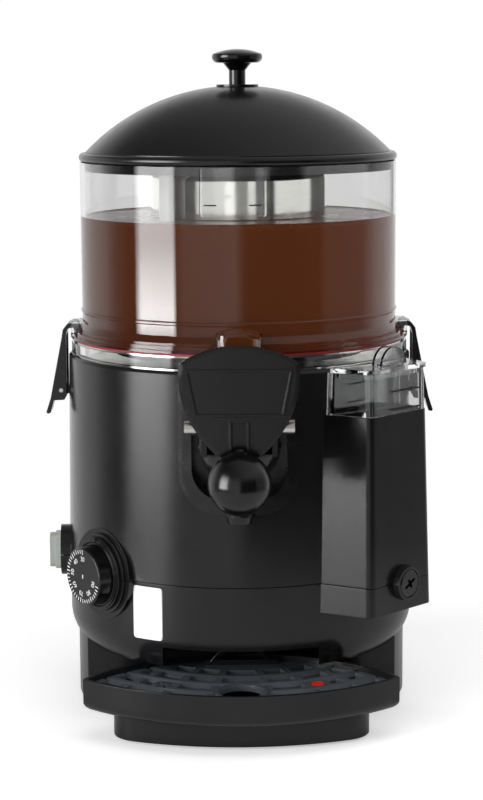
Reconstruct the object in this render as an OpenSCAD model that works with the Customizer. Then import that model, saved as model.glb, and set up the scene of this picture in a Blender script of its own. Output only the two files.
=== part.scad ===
// Counter-top hot chocolate dispenser, five-litre size.
// Millimetres, +Z up, the front faces -Y, and the machine stands on z = 0.
// Every module is drawn about the container's upright centre line, and at_axis()
// then sets that line so that the origin is the middle of the whole footprint.

/* [Container] */
// Outside radius of the clear container wall
container_r = 113.4; // [112.8:0.1:113.8]
// Height of the container rim above the table
rim_z = 389; // [386:1:392]
// Height of the drink's surface
fill_z = 349.7; // [300:1:360]
// Outside radius of the steel column inside
column_r = 63; // [58:1:65]

/* [Housing] */
// Outside radius of the housing at its top edge
housing_top_r = 123.5; // [123:0.1:124]
// Outside radius of the housing at the seam
housing_seam_r = 125.6; // [125:0.1:126]
// Height of the seam between the two housings
seam_z = 104.4; // [103:0.2:106]
// Height of the housing's top edge
deck_z = 252.4; // [251:0.2:253]
// Thickness of the moulded walls
wall = 3; // [2.6:0.2:3.2]
// Distance from the centre line to the flat back
back_y = 116; // [115:0.5:117]

/* [Tap] */
// Distance from the centre line to the tap's upright axis
tap_y = 136.2; // [136:0.1:136.6]
// Radius of the ball knob
ball_r = 20.7; // [19:0.1:21]
// Height of the lever's hinge pin
pin_z = 222; // [221:0.5:223]
// Radius of the hinge pin
pin_r = 5; // [4.5:0.1:5]

/* [Controls] */
// Direction of the dial, degrees left of the front
dial_az = 50.7; // [48:0.1:52]
// Direction of the power switch, degrees left of the front
switch_az = 88; // [87:0.5:90]
// Height of both controls
control_z = 105; // [104:0.5:106]

/* [Water tank] */
// Direction of the side tank, degrees right of the front
tank_az = 45.8; // [44:0.1:47]
// Distance from the centre line to the tank's outer face, at its foot
tank_face = 155; // [153:0.5:156]
// Half the width of the tank's outer face, at its foot
tank_half = 33.5; // [31:0.5:34]
// Height of the joint between the black box and its clear window
tank_split_z = 221.5; // [218:0.5:224]

/* [Drip tray] */
// Radius of the tray's front edge
tray_front_r = 157; // [155:0.5:158]
// Radius of the tray's back edge
tray_back_r = 128; // [127:0.5:128.5]
// Height of the tray's rim
tray_rim_z = 43.3; // [42:0.1:44]
// Rows of slots in the grille
grille_rows = 4; // [3:1:4]

/* [Lid] */
// Radius of the domed top
dome_r = 152; // [150:1:156]
// Height of the dome's crown
crown_z = 442.2; // [440:0.2:443]
// Radius of the lifting knob
knob_r = 18; // [17:0.2:19]

/* [Hidden] */
$fn = 96;

// the whole machine stands about the origin: the ball is in front, the gland behind
ball_y = tap_y + 45;
ball_z = pin_z - 34;
gland_out = 7.2;
axis_y = (ball_y + ball_r - back_y - gland_out) / 2;

// container
container_wall = 3;
container_in = container_r - container_wall;
floor_z = 262.4;            // top of the steel floor plate
floor_t = 1;
pan_t = 1.2;
flange_z = 264.2;           // underside of the container's flange
flange_top = 266.8;
flange_r = 122;
flare_z = 275;
foot_in = 104.6;            // the wall draws in to this radius at the foot
foot_z = 285;               // where it starts to draw in
outlet_half = 15.5;         // clear outlet block that carries the tap
outlet_top = 282;
outlet_front = 146.4;
hub_top = 397.5;
column_top = 384.5;
tube_r = 8;                 // water-tight tube that the stirrer's shaft runs in

// housing
base_z = 2;                 // underside of the mouldings, over the feet
bowl_fillet = 30;
bowl_bottom = 36;           // where the bowl's round edge would end
bowl_cut = 44.4;            // its flat underside, just over the tray
foot_half = 88;
foot_front = 154;
foot_top = 20.4;
recess_half = 54;
recess_top = 60;
recess_back = 64;
seam_gap = 0.5;
gland_x = -14;              // mains gland, low on the back
gland_z = 58;
switch_pocket = 17.3;       // radius of the pocket behind the switch's boot
rocker_pivot = 28;          // the rocker's pivot, outward from the switch's back

// tap
barrel_r = 12;
nozzle_r = 10.2;
bore_r = 8.5;
pin_y = tap_y + 22.4;
pin_half = 36.2;
shield_back = pin_y + 8.6;  // the ears turn clear behind the shield
shield_t = 3.5;
shroud_r = 27;
lever_hub = 8;
finger_y = tap_y + 8.4;     // where the lever's finger meets the piston
run = 0.06;                 // radial clearance of every running fit

// side tank
tank_taper = 16.2;
tank_lean = 3.4;            // how far the outer face leans in over its height
tank_narrow = 3.2;          // how much narrower half the face is at the top
tank_corner_r = 6;
tank_back = 98;
tank_bottom = 84;
tank_seam = seam_z - 0.2;
window_top = 250.6;
tank_wall = 2.6;
drain_z = seam_z - 0.8;     // the drain plug sits on the seam
drain_side = 2;             // how far it is right of the tank's middle
drain_face = tank_face - 0.2;
pipe_r = 70;                // both water pipes rise to the bath at this radius
pipe_turn = 24;             // the drain's riser stands this far round from the feed's

// tray
tray_front_c = 17;          // how far in front of the centre line the front arc is centred
tray_back_c = 198;
tray_bottom = 20.7;
tray_fillet = 8;
tray_wall = 2.5;
grille_z = 36.2;
grille_t = 3.4;

black = [0.07, 0.07, 0.075];
soft_black = [0.12, 0.12, 0.13];
steel = [0.74, 0.74, 0.73];
clear = [0.86, 0.88, 0.88, 0.35];

module at_axis() { translate([0, axis_y, 0]) children(); }

// turns a part drawn at the front to a direction, in degrees right of the front
module facing(az) { rotate([0, 0, az]) children(); }

// lays a cylinder or an extrusion drawn along +Z so that it points out of the front
module outward(y, z) { translate([0, -y, z]) rotate([90, 0, 0]) children(); }

module ring(r_out, r_in, h) {
    difference() {
        cylinder(r = r_out, h = h);
        translate([0, 0, -1]) cylinder(r = r_in, h = h + 2);
    }
}

// rectangle with round corners, from true arcs
module round_rect(w, h, r) {
    square([w - 2 * r, h], center = true);
    square([w, h - 2 * r], center = true);
    for (x = [-1, 1], y = [-1, 1])
        translate([x * (w / 2 - r), y * (h / 2 - r)]) circle(r);
}

// upright strip with a round lower end, its top edge at y = 0
module u_shape(half, depth, r) {
    translate([-half, -depth + r]) square([2 * half, depth - r]);
    translate([-half + r, -depth]) square([2 * half - 2 * r, r + 1]);
    for (s = [-1, 1]) translate([s * (half - r), -depth + r]) circle(r);
}

// rounded slot between two points of the plane, along X
module slot_x(len, r) {
    square([len, 2 * r], center = true);
    for (s = [-1, 1]) translate([s * len / 2, 0]) circle(r);
}

// solid of revolution with its lower edge rounded: the tray and bowl are cut from these
module round_drum(r, h, f) {
    rotate_extrude() {
        square([r - f, h]);
        translate([0, f]) square([r, h - f]);
        translate([r - f, f]) circle(f);
    }
}

// ---------------------------------------------------------------- housings

// outer skin of the upper housing is a shallow cone, drawn in or out by d
module housing_cone(d, z0, z1) {
    k = (housing_top_r - housing_seam_r) / (deck_z - seam_z);
    translate([0, 0, z0])
        cylinder(r1 = housing_seam_r + k * (z0 - seam_z) + d,
                 r2 = housing_seam_r + k * (z1 - seam_z) + d, h = z1 - z0);
}

module behind(y) { translate([-200, y, -10]) cube([400, 200, 500]); }

// The side tank in plan is a wedge that narrows outward, with round corners. Its outer
// face and its sides lean in as they rise, so that the moulding draws from its tool.
function tank_rise(z) = (z - tank_bottom) / (window_top - tank_bottom);
function tank_ring(z, inset) =
    let (r = tank_corner_r,
         f = tank_face - tank_lean * tank_rise(z) - inset - r,
         w = tank_half - tank_narrow * tank_rise(z) - inset - r,
         wb = w + (f - tank_back) * tan(tank_taper),
         corners = [[w, -f, -90, -tank_taper], [wb, -tank_back, -tank_taper, 90],
                    [-wb, -tank_back, 90, 180 + tank_taper], [-w, -f, 180 + tank_taper, 270]])
    [for (c = corners, i = [0:8]) let (a = c[2] + (c[3] - c[2]) * i / 8)
        [c[0] + r * cos(a), c[1] + r * sin(a), z]];

module tank_block(z0, z1, inset = 0) {
    low = tank_ring(z0, inset);
    n = len(low);
    sides = [for (i = [0:n - 1]) let (j = (i + 1) % n) [i, n + i, n + j, j]];
    facing(tank_az) polyhedron(
        points = concat(low, tank_ring(z1, inset)),
        faces = concat(sides, [[for (i = [0:n - 1]) i], [for (i = [0:n - 1]) 2 * n - 1 - i]]));
}

// round bosses that the dial and the switch sit on, one half in each housing
module control_bosses() {
    facing(-dial_az) outward(110, control_z) {
        cylinder(r = 32, h = 15.6);
        cylinder(r = 28.6, h = 18);
    }
    facing(-switch_az) outward(110, control_z) cylinder(r = 18.5, h = 22);
}

module control_bores() {
    facing(-dial_az) outward(100, control_z) {
        cylinder(r = 12, h = 40);
        translate([0, 0, 24]) cylinder(r = 26, h = 10);
    }
    facing(-switch_az) outward(100, control_z) {
        translate([0, 0, -5]) linear_extrude(height = 60) square([14.6, 22.6], center = true);
        translate([0, 0, rocker_pivot]) cylinder(r = switch_pocket, h = 10);
    }
    facing(tank_az) outward(120, drain_z) translate([drain_side, 0, 0]) cylinder(r = 9, h = 50);
    drain_run(6.3);
}

module upper_housing() {
    lip = 2;
    color(black) at_axis() difference() {
        union() {
            difference() {
                union() {
                    housing_cone(0, seam_z + seam_gap, deck_z);
                    tank_block(tank_seam + seam_gap, tank_split_z);
                    intersection() {
                        control_bosses();
                        translate([-200, -200, seam_z + seam_gap]) cube([400, 400, 60]);
                    }
                }
                housing_cone(-wall, seam_z - 1, deck_z - wall);
                // the side tank's own water space, with a floor over the drain
                difference() {
                    tank_block(seam_z + 16, tank_split_z + 1, tank_wall);
                    cylinder(r = housing_seam_r + 2, h = 300);
                }
                translate([0, 0, deck_z - wall - 1]) cylinder(r = 94.5, h = 10);
                behind(back_y);
            }
            // back wall, and a socket for the pipe from the tank
            intersection() {
                housing_cone(0, seam_z + seam_gap, deck_z);
                translate([-200, back_y - wall, 0]) cube([400, wall, 400]);
            }
            facing(tank_az) outward(116, seam_z + 24) cylinder(r = 10, h = 10);
        }
        // the tap's recess, the control holes and the water inlet
        outward(96, deck_z + 1) linear_extrude(height = 50) u_shape(35.2, 90, 24);
        control_bores();
        facing(tank_az) outward(100, seam_z + 24) cylinder(r = 6.2, h = 40);
        // louvres in the back
        for (i = [0:6]) translate([0, back_y + 2, 132 + i * 12]) rotate([90, 0, 0])
            linear_extrude(height = 10) slot_x(52, 2);
        // chamfer round the edge of the deck
        translate([0, 0, deck_z - lip]) difference() {
            cylinder(r = 130, h = 4);
            translate([0, 0, -1]) cylinder(r1 = housing_top_r + 1, r2 = housing_top_r - 3.6, h = 4.6);
        }
    }
}

// plan of the foot: a wide front arc, and round corners that run into it and the sides
module foot_plan(d) {
    front_r = 200;
    corner_r = 22;
    cx = foot_half - corner_r;
    cy = sqrt(pow(front_r - corner_r, 2) - cx * cx);
    translate([0, front_r - foot_front]) {
        intersection() {
            circle(front_r - d);
            polygon([[0, 0], [1.4 * cx, -1.4 * cy], [-1.4 * cx, -1.4 * cy]]);
        }
        for (s = [-1, 1]) translate([s * cx, -cy]) circle(corner_r - d);
        translate([d - foot_half, -cy]) square([2 * (foot_half - d), 97 - d]);
    }
}

module pedestal_plan(d) {
    intersection() {
        circle(120 - d);
        translate([0, 46]) round_rect(262, 184 - 2 * d, 22 - d);
    }
}

// bowl under the seam: round lower edge, flat underside, drawn in by d
module bowl(d, z1) {
    z0 = bowl_cut + d;
    intersection() {
        translate([0, 0, bowl_bottom + d])
            round_drum(housing_seam_r - 0.4 - d, z1 - bowl_bottom - d, bowl_fillet - d);
        translate([-200, -200, z0]) cube([400, 400, z1 - z0]);
    }
}

module lower_housing() {
    color(black) at_axis() difference() {
        union() {
            difference() {
                union() {
                    bowl(0, seam_z);
                    translate([0, 0, base_z]) linear_extrude(height = 62) pedestal_plan(0);
                    translate([0, 0, base_z])
                        linear_extrude(height = foot_top - base_z) foot_plan(0);
                    tank_block(tank_bottom, tank_seam);
                    intersection() {
                        control_bosses();
                        translate([-200, -200, seam_z - 60]) cube([400, 400, 60]);
                    }
                }
                bowl(wall, seam_z + 1);
                translate([0, 0, base_z - 1]) linear_extrude(height = 62) pedestal_plan(wall);
                translate([0, 0, base_z - 1])
                    linear_extrude(height = foot_top - base_z - 2) foot_plan(wall);
                facing(tank_az) translate([-22, -tank_face + 3, tank_bottom + 3])
                    cube([44, 42, 30]);
                behind(back_y);
            }
            // back wall, the tray's tunnel, and the lip that locates the upper housing
            intersection() {
                union() {
                    bowl(0, seam_z);
                    translate([0, 0, base_z]) linear_extrude(height = 62) pedestal_plan(0);
                }
                translate([-200, back_y - wall, 0]) cube([400, wall, seam_z]);
            }
            intersection() {
                translate([-recess_half - 2.5, -140, foot_top - 4])
                    cube([2 * recess_half + 5, 140 - recess_back + 2.5, recess_top - foot_top + 6.5]);
                bowl(0, seam_z);
            }
            // six posts that the base screws and the feet bite into
            for (p = screw_places) translate([p[0], p[1], base_z + 1.5]) cylinder(r = 5, h = 20);
        }
        // the tunnel, open to the front
        translate([-recess_half, -160, foot_top])
            cube([2 * recess_half, 160 - recess_back, recess_top - foot_top]);
        for (p = screw_places) translate([p[0], p[1], 0]) cylinder(r = 1.6, h = 18);
        control_bores();
        // hole for the mains gland
        translate([gland_x, back_y + 1, gland_z]) rotate([90, 0, 0]) cylinder(r = 8, h = 10);
    }
}

screw_places = [for (s = [-1, 1]) each [
    [s * 106, -38.5], [s * 92.2, 64.5], [s * 40, 105.2]
]];
feet_places = [[-66, -122], [66, -122], [-78, 70], [78, 70]];

module base_plate() {
    color(steel) at_axis() translate([0, 0, base_z]) difference() {
        intersection() {
            linear_extrude(height = 1.4) pedestal_plan(wall + 0.3);
            translate([-200, -200, -1]) cube([400, 200 + back_y - wall - 0.3, 10]);
        }
        for (p = screw_places) translate([p[0], p[1], -1]) cylinder(r = 2.2, h = 4);
        for (x = [-78, 78]) translate([x, 70, -1]) cylinder(r = 4.1, h = 4);
        for (i = [-3:3]) translate([i * 12, 20, -1]) linear_extrude(height = 4)
            rotate(90) slot_x(34, 2.2);
    }
}

module rubber_feet() {
    color([0.1, 0.1, 0.1]) at_axis() for (p = feet_places) translate([p[0], p[1], 0]) {
        cylinder(r1 = 8, r2 = 9, h = base_z);
        if (p[1] > 0) cylinder(r = 4, h = 6);
        else translate([0, 0, base_z]) cylinder(r = 9, h = foot_top - 3 - base_z);
    }
}

module base_screws() {
    color([0.6, 0.6, 0.6]) at_axis() for (p = screw_places) translate([p[0], p[1], 0]) difference() {
        union() {
            translate([0, 0, 0.7]) cylinder(r1 = 3, r2 = 4, h = base_z - 0.7);
            translate([0, 0, base_z]) cylinder(r = 1.6, h = 12);
        }
        translate([0, 0, 0.9]) cube([4.4, 0.9, 1.4], center = true);
        translate([0, 0, 0.9]) cube([0.9, 4.4, 1.4], center = true);
    }
}

// ---------------------------------------------------------------- water bath

module bath_pan() {
    pan_r = 92;
    color(steel) at_axis() difference() {
        union() {
            translate([0, 0, 200]) round_drum(pan_r, deck_z - 199.5, 8);
            translate([0, 0, deck_z]) cylinder(r = 119, h = pan_t);
        }
        translate([0, 0, 200 + pan_t]) round_drum(pan_r - pan_t, 80, 8 - pan_t);
        translate([0, 0, 190]) cylinder(r = tube_r + 0.05, h = 20);
        for (a = heater_legs) rotate([0, 0, a]) translate([heater_r, 0, 190])
            cylinder(r = 4.35, h = 20);
        facing(tank_az) translate([0, -pipe_r, 190]) cylinder(r = 6.05, h = 20);
        facing(tank_az - pipe_turn) translate([0, -pipe_r, 190]) cylinder(r = 6.05, h = 20);
    }
}

heater_r = 76;
heater_legs = [84, 96];

module heating_column() {
    t = 1.4;
    f = 8;
    color(steel) at_axis() {
        difference() {
            union() {
                translate([0, 0, floor_z - floor_t]) cylinder(r = 120, h = floor_t);
                // the column, its top edge drawn round
                rotate_extrude() {
                    square_from(0, floor_z - floor_t, column_r, column_top - f);
                    square_from(0, floor_z - floor_t, column_r - f, column_top);
                    translate([column_r - f, column_top - f]) circle(f);
                }
            }
            rotate_extrude() {
                square_from(0, floor_z - 3, column_r - t, column_top - f);
                square_from(0, floor_z - 3, column_r - f, column_top - t);
                translate([column_r - f, column_top - f]) circle(f - t);
            }
            translate([0, 0, 250]) cylinder(r = tube_r, h = 200);
        }
        translate([0, 0, 199]) ring(tube_r, tube_r - 1.3, column_top - 199);
    }
}

// clear ring between the housing's deck and the steel floor
module base_ring() {
    color(clear) at_axis() translate([0, 0, deck_z + pan_t])
        ring(121.5, 112, floor_z - floor_t - deck_z - pan_t);
}

module bath_gasket() {
    color([0.78, 0.14, 0.15]) at_axis() translate([0, 0, floor_z])
        ring(118.5, 107, flange_z - floor_z);
}

module heater_ring() {
    z = 212;
    color([0.45, 0.43, 0.42]) at_axis() {
        difference() {
            translate([0, 0, z]) rotate_extrude() translate([heater_r, 0]) circle(4);
            translate([-6, heater_r - 8, z - 6]) cube([12, 16, 12]);
        }
        for (a = heater_legs) rotate([0, 0, a]) translate([heater_r, 0, 184]) {
            translate([0, 0, 8]) cylinder(r = 4.3, h = z - 188);
            cylinder(r = 2, h = 9);
        }
    }
}

module gear_motor() {
    color([0.35, 0.36, 0.38]) at_axis() difference() {
        union() {
            translate([0, 0, 128]) cylinder(r = 27, h = 30);
            translate([0, 0, 158]) cylinder(r = 33, h = 16);
            for (a = [0:3]) rotate([0, 0, 45 + 90 * a]) translate([31, 0, 160])
                cylinder(r = 5, h = 14);
            translate([0, 0, 124]) cylinder(r = 9, h = 4);
        }
        translate([0, 0, 140]) cylinder(r = 5 + run, h = 40);
    }
}

module motor_bracket() {
    color(steel) at_axis() {
        translate([0, 0, 174]) difference() {
            linear_extrude(height = 2.5) round_rect(128, 74, 14);
            translate([0, 0, -1]) cylinder(r = 9, h = 5);
            for (a = [0:3]) rotate([0, 0, 45 + 90 * a]) translate([31, 0, -1])
                cylinder(r = 2.2, h = 5);
        }
        for (x = [-56, 56], y = [-28, 28]) translate([x, y, 176.5]) cylinder(r = 4, h = 23.5);
    }
}

module drive_shaft() {
    color([0.8, 0.8, 0.8]) at_axis() {
        translate([0, 0, 141]) cylinder(r = 5, h = 246);
        rotate([0, 0, -45]) translate([-2.6, -4.2, 387]) cube([5.2, 8.4, 9]);
    }
}

module shaft_seal() {
    color([0.78, 0.14, 0.15]) at_axis() translate([0, 0, 374]) ring(tube_r - 1.3, 5 + run, 10);
}

// a hub over the column, two arms down its side and a scraping ring of four blades
module stirrer() {
    blade_z = floor_z + 2.4;
    color([0.9, 0.9, 0.87]) at_axis() rotate([0, 0, -45]) {
        difference() {
            rotate_extrude() {
                square_from(0, column_top + 2, 16, column_top + 8);
                square_from(0, column_top + 8, 11, hub_top);
                translate([11, column_top + 8]) circle(5);
            }
            translate([0, 0, 380]) cylinder(r = 5.3, h = 7.3);
            translate([-2.7, -4.3, 386]) cube([5.4, 8.6, 10.2]);
        }
        for (s = [0, 180]) rotate([0, 0, s]) {
            translate([-5, -74, column_top + 2]) cube([10, 62, 6]);
            translate([0, -70, blade_z]) intersection() {
                linear_extrude(height = column_top + 8 - blade_z) round_rect(10, 8, 3);
                translate([-6, -10, 0]) cube([12, 20, 200]);
            }
        }
        translate([0, 0, blade_z]) ring(73, 66, 5);
        for (a = [0:3]) rotate([0, 0, 90 * a]) translate([0, -71, blade_z])
            rotate([0, 0, 14]) translate([-1.6, -32, 0]) cube([3.2, 32, 16]);
    }
}

module thermostat() {
    color([0.85, 0.83, 0.76]) at_axis() {
        facing(-dial_az) outward(84, control_z) difference() {
            union() {
                translate([0, 0, 10]) linear_extrude(height = 14) round_rect(32, 38, 4);
                translate([0, 0, 24]) cylinder(r = 8, h = 6);
            }
            translate([0, 0, 14]) cylinder(r = 3 + run, h = 30);
        }
        // capillary to the underside of the bath
        facing(-dial_az) translate([0, -98, control_z + 12]) {
            cylinder(r = 1.5, h = 76);
            translate([0, 0, 76]) sphere(1.9);
            translate([0, 0, 76]) rotate([-90, 0, 0]) cylinder(r = 1.5, h = 26);
            translate([0, 25, 76]) rotate([-90, 0, 0]) cylinder(r = 3, h = 24);
        }
    }
}

module thermal_cutout() {
    color([0.2, 0.2, 0.22]) at_axis() translate([34, 46, 192]) {
        cylinder(r = 9, h = 8);
        for (x = [-4, 4]) translate([x - 0.4, -3, -7]) cube([0.8, 6, 8]);
    }
}

module terminal_block() {
    color([0.92, 0.92, 0.9]) at_axis() translate([20, 62, base_z + 1.4]) difference() {
        linear_extrude(height = 18) round_rect(52, 24, 2);
        for (i = [-1:1]) translate([i * 15, 0, 6]) {
            cylinder(r = 3, h = 20);
            rotate([90, 0, 0]) cylinder(r = 2.4, h = 40, center = true);
        }
    }
}

// upright pipe to the bath, with its lower bend
module riser(z0) {
    translate([0, -pipe_r, z0]) {
        sphere(6.6);
        cylinder(r = 6, h = 204 - z0);
    }
}

// feed from the side tank to the bath
module feed_pipe() {
    z_in = seam_z + 24;
    color([0.85, 0.85, 0.82]) at_axis() facing(tank_az) {
        outward(pipe_r, z_in) cylinder(r = 6, h = 58);
        riser(z_in);
    }
}

// level run of the drain, from its riser to the plug on the tank's face
module drain_run(r) {
    az = tank_az - pipe_turn;
    start = [pipe_r * sin(az), -pipe_r * cos(az)];
    reach = drain_face - 8.5;
    plug = [drain_side * cos(tank_az) + reach * sin(tank_az),
            drain_side * sin(tank_az) - reach * cos(tank_az)];
    translate([start[0], start[1], drain_z])
        rotate([0, 0, atan2(plug[1] - start[1], plug[0] - start[0])])
            rotate([0, 90, 0]) cylinder(r = r, h = norm(plug - start) - 12);
}

module drain_pipe() {
    color([0.85, 0.85, 0.82]) at_axis() {
        facing(tank_az - pipe_turn) riser(drain_z);
        drain_run(6);
    }
}

module cord_gland() {
    color(soft_black) at_axis() translate([gland_x, back_y - wall, gland_z]) rotate([-90, 0, 0])
        difference() {
        union() {
            translate([0, 0, -6]) cylinder(r = 7.9, h = 10);
            translate([0, 0, wall]) cylinder(r = 11, h = 3, $fn = 6);
            translate([0, 0, wall + 3]) cylinder(r1 = 8.6, r2 = 6.6, h = gland_out - 3);
            translate([0, 0, -9]) cylinder(r = 10.5, h = 4);
        }
        translate([0, 0, -12]) cylinder(r = 4, h = 40);
    }
}

// ---------------------------------------------------------------- container

// outlet block in front: an arch from the front, round corners from above
module outlet_block(d, z0) {
    arch_r = 32;
    intersection() {
        outward(100, 0) linear_extrude(height = 60) intersection() {
            translate([0, outlet_top - arch_r]) circle(arch_r - d);
            square_from(-2 * outlet_half, z0, 2 * outlet_half, outlet_top);
        }
        translate([0, -outlet_front + 30, 200])
            linear_extrude(height = 100) round_rect(2 * (outlet_half - d), 60 - 2 * d, 9 - d);
    }
}

module container() {
    lug_half = 17;
    claw_half = latch_half + 1.2;
    color(clear) at_axis() difference() {
        union() {
            // wall with a bead, a stepped flange, and an inner face that draws in below
            rotate_extrude() polygon([
                [container_in, rim_z], [container_r, rim_z],
                [container_r, foot_z], [container_r + 0.7, foot_z - 0.8],
                [container_r + 0.7, foot_z - 2.2], [container_r, foot_z - 3],
                [container_r, flare_z], [116.6, flange_top + 3.6], [116.6, flange_top + 2],
                [119.8, flange_top + 2], [119.8, flange_top - 0.7],
                [flange_r, flange_top - 0.7], [flange_r, flange_z],
                [foot_in, flange_z], [foot_in, flange_z + 2], [container_in, foot_z]
            ]);
            difference() {
                outlet_block(0, flange_z);
                cylinder(r = container_r - 1, h = 400);
            }
            // the two blocks that the latches hook over
            for (s = [-1, 1]) translate([s > 0 ? 111.4 : -121, -lug_half, flange_z])
                cube([9.6, 2 * lug_half, 274 - flange_z]);
        }
        difference() {
            outlet_block(2.5, flange_z + 2.4);
            cylinder(r = foot_in - 1, h = 400);
        }
        translate([0, -tap_y, flange_z - 1]) cylinder(r = 7.4, h = 8);
        // pockets for the hooks
        for (s = [-1, 1]) translate([s > 0 ? 115.4 : -125.4, -claw_half, flange_top])
            cube([10, 2 * claw_half, 20]);
    }
}

// the drink, stood in by the outer layer that shows through the clear wall
module chocolate_fill() {
    gap = 0.3;
    color([0.26, 0.13, 0.08]) at_axis() rotate_extrude() polygon([
        [container_in - gap, fill_z], [105.6, fill_z], [105.6, foot_z], [103.4, foot_z - 4],
        [103.4, floor_z], [foot_in - gap, floor_z], [foot_in - gap, flange_z + 2],
        [container_in - gap, foot_z]
    ]);
}

// ---------------------------------------------------------------- tap

// turned form of the tap: barrel, seat, nozzle and the cup round them
module tap_turning() {
    cup_f = 22;
    cup_top = 212.8;
    rotate_extrude() difference() {
        union() {
            square_from(0, 172, barrel_r, flange_z - 0.2);
            square_from(0, 158, nozzle_r, 173);
            polygon([[0, 153], [8.5, 153], [nozzle_r, 158], [0, 158]]);
            square_from(0, 172, 14, 184);
            // cup with a round lower edge and a bead outside
            difference() {
                union() {
                    square_from(0, 182, shroud_r - cup_f, cup_top);
                    square_from(0, 182 + cup_f, shroud_r, cup_top);
                    translate([shroud_r - cup_f, 182 + cup_f]) circle(cup_f);
                    square_from(0, 204.5, shroud_r + 0.8, 206.5);
                }
                square_from(barrel_r, 182 + cup_f, shroud_r - 2.4, 220);
                intersection() {
                    translate([shroud_r - cup_f, 182 + cup_f]) circle(cup_f - 2.4);
                    square_from(barrel_r, 184.6, shroud_r, 182 + cup_f + 0.1);
                }
            }
        }
        square_from(0, 176, bore_r, 256);
        square_from(0, 150, 5, 270);
        square_from(-60, 100, 0, 300);
    }
}

module square_from(x0, y0, x1, y1) { translate([x0, y0]) square([x1 - x0, y1 - y0]); }

module tap_body() {
    ear_x = 23.2;
    color(black) at_axis() difference() {
        union() {
            translate([0, -tap_y, 0]) tap_turning();
            // ears that carry the hinge pin, standing on the cup's edge
            for (s = [-1, 1]) translate([s * ear_x, 0, 0]) rotate([90, 0, 90])
                linear_extrude(height = 3.6, center = true) {
                    translate([-pin_y, pin_z]) circle(8);
                    square_from(-pin_y - 4, 206, -pin_y + 8, pin_z);
                    square_from(-pin_y - 1, 202, -tap_y + 4, 218);
                }
            for (s = [-1, 1]) translate([s * 17, -tap_y, 213]) cube([14, 3.6, 10], center = true);
        }
        translate([-50, -pin_y, pin_z]) rotate([0, 90, 0]) cylinder(r = pin_r, h = 100);
        // window for the lever's finger
        translate([-4, -tap_y - 20, 208]) cube([8, 20, 26]);
    }
}

module outlet_seal() {
    color([0.78, 0.14, 0.15]) at_axis() translate([0, -tap_y, flange_z - 0.2]) ring(11.3, 8.6, 0.2);
}

module tap_pin() {
    color([0.82, 0.81, 0.78]) at_axis() translate([-pin_half, -pin_y, pin_z]) rotate([0, 90, 0]) {
        cylinder(r = pin_r, h = 2 * pin_half);
    }
}

// hollow spool: its nose shuts the seat, and the drink runs down through it
module piston() {
    color([0.9, 0.9, 0.88]) at_axis() translate([0, -tap_y, 0]) difference() {
        union() {
            translate([0, 0, 198]) cylinder(r = bore_r - run, h = 48);
            translate([0, 0, 246]) cylinder(r = 5.4, h = 5);
            translate([0, 0, 251]) cylinder(r = 7.6, h = 2.4);
        }
        translate([0, 0, 190]) cylinder(r = 3.2, h = 58);
        translate([0, 0, 243]) rotate([90, 0, 0]) cylinder(r = 2.4, h = 30, center = true);
        // groove for the finger
        translate([0, 0, 217.6]) ring(12, 5.2, 8.8);
    }
}

module piston_seal() {
    color([0.78, 0.14, 0.15]) at_axis() translate([0, -tap_y, 253.4])
        cylinder(r = 7.4, h = 2.2);
}

// closed helical spring under the piston: one unbroken tube of round wire
spring_r = 6.6;
wire_r = 0.7;
spring_lo = 176.8;
spring_hi = 197.2;
spring_turns = 6;
spring_steps = 8 * spring_turns;
function spring_z(i) = spring_lo + (spring_hi - spring_lo) * i / spring_steps;
function spring_ring(i) =
    let (a = 360 * i / 8)
    [for (k = [0:5]) let (b = 60 * k)
        [(spring_r + wire_r * cos(b)) * cos(a),
         (spring_r + wire_r * cos(b)) * sin(a),
         spring_z(i) + wire_r * sin(b)]];

module helix_tube(n) {
    points = [for (i = [0:n]) each spring_ring(i)];
    sides = [for (i = [0:n - 1], k = [0:5]) let (j = (k + 1) % 6, a = 6 * i, b = 6 * i + 6)
        each [[a + k, b + k, a + j], [a + j, b + k, b + j]]];
    first = [for (k = [1:4]) [0, k, k + 1]];
    last = [for (k = [1:4]) [6 * n, 6 * n + k + 1, 6 * n + k]];
    polyhedron(points = points, faces = concat(sides, first, last));
}

module piston_spring() {
    color([0.75, 0.75, 0.75]) at_axis() translate([0, -tap_y, 0]) helix_tube(spring_steps);
}

// shield outline: one wide arc on top and two side arcs that draw in to the foot
module shield_outline() {
    offset(r = 5, $fn = 40) offset(delta = -5) intersection() {
        translate([0, -16]) circle(71);
        translate([-29.4, 35.8]) circle(69);
        translate([29.4, 35.8]) circle(69);
        translate([-50, -18.5]) square([100, 100]);
    }
}

// the shield in layers that draw in toward its face, which rounds its rim
module shield_plate() {
    rim = [[0, 0, 2.2], [0.4, 2.2, 0.5], [1.1, 2.7, 0.4], [2.1, 3.1, shield_t - 3.1]];
    for (k = rim) translate([0, 0, k[1]]) linear_extrude(height = k[2]) difference() {
        offset(delta = -k[0]) shield_outline();
        translate([-5, -19]) square([10, 23]);
    }
}

module shield_panel(d) {
    polygon([[-35 + d, 39.5 - d], [35 - d, 39.5 - d], [29.5 - d, 8.5 + d], [-29.5 + d, 8.5 + d]]);
}

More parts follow.
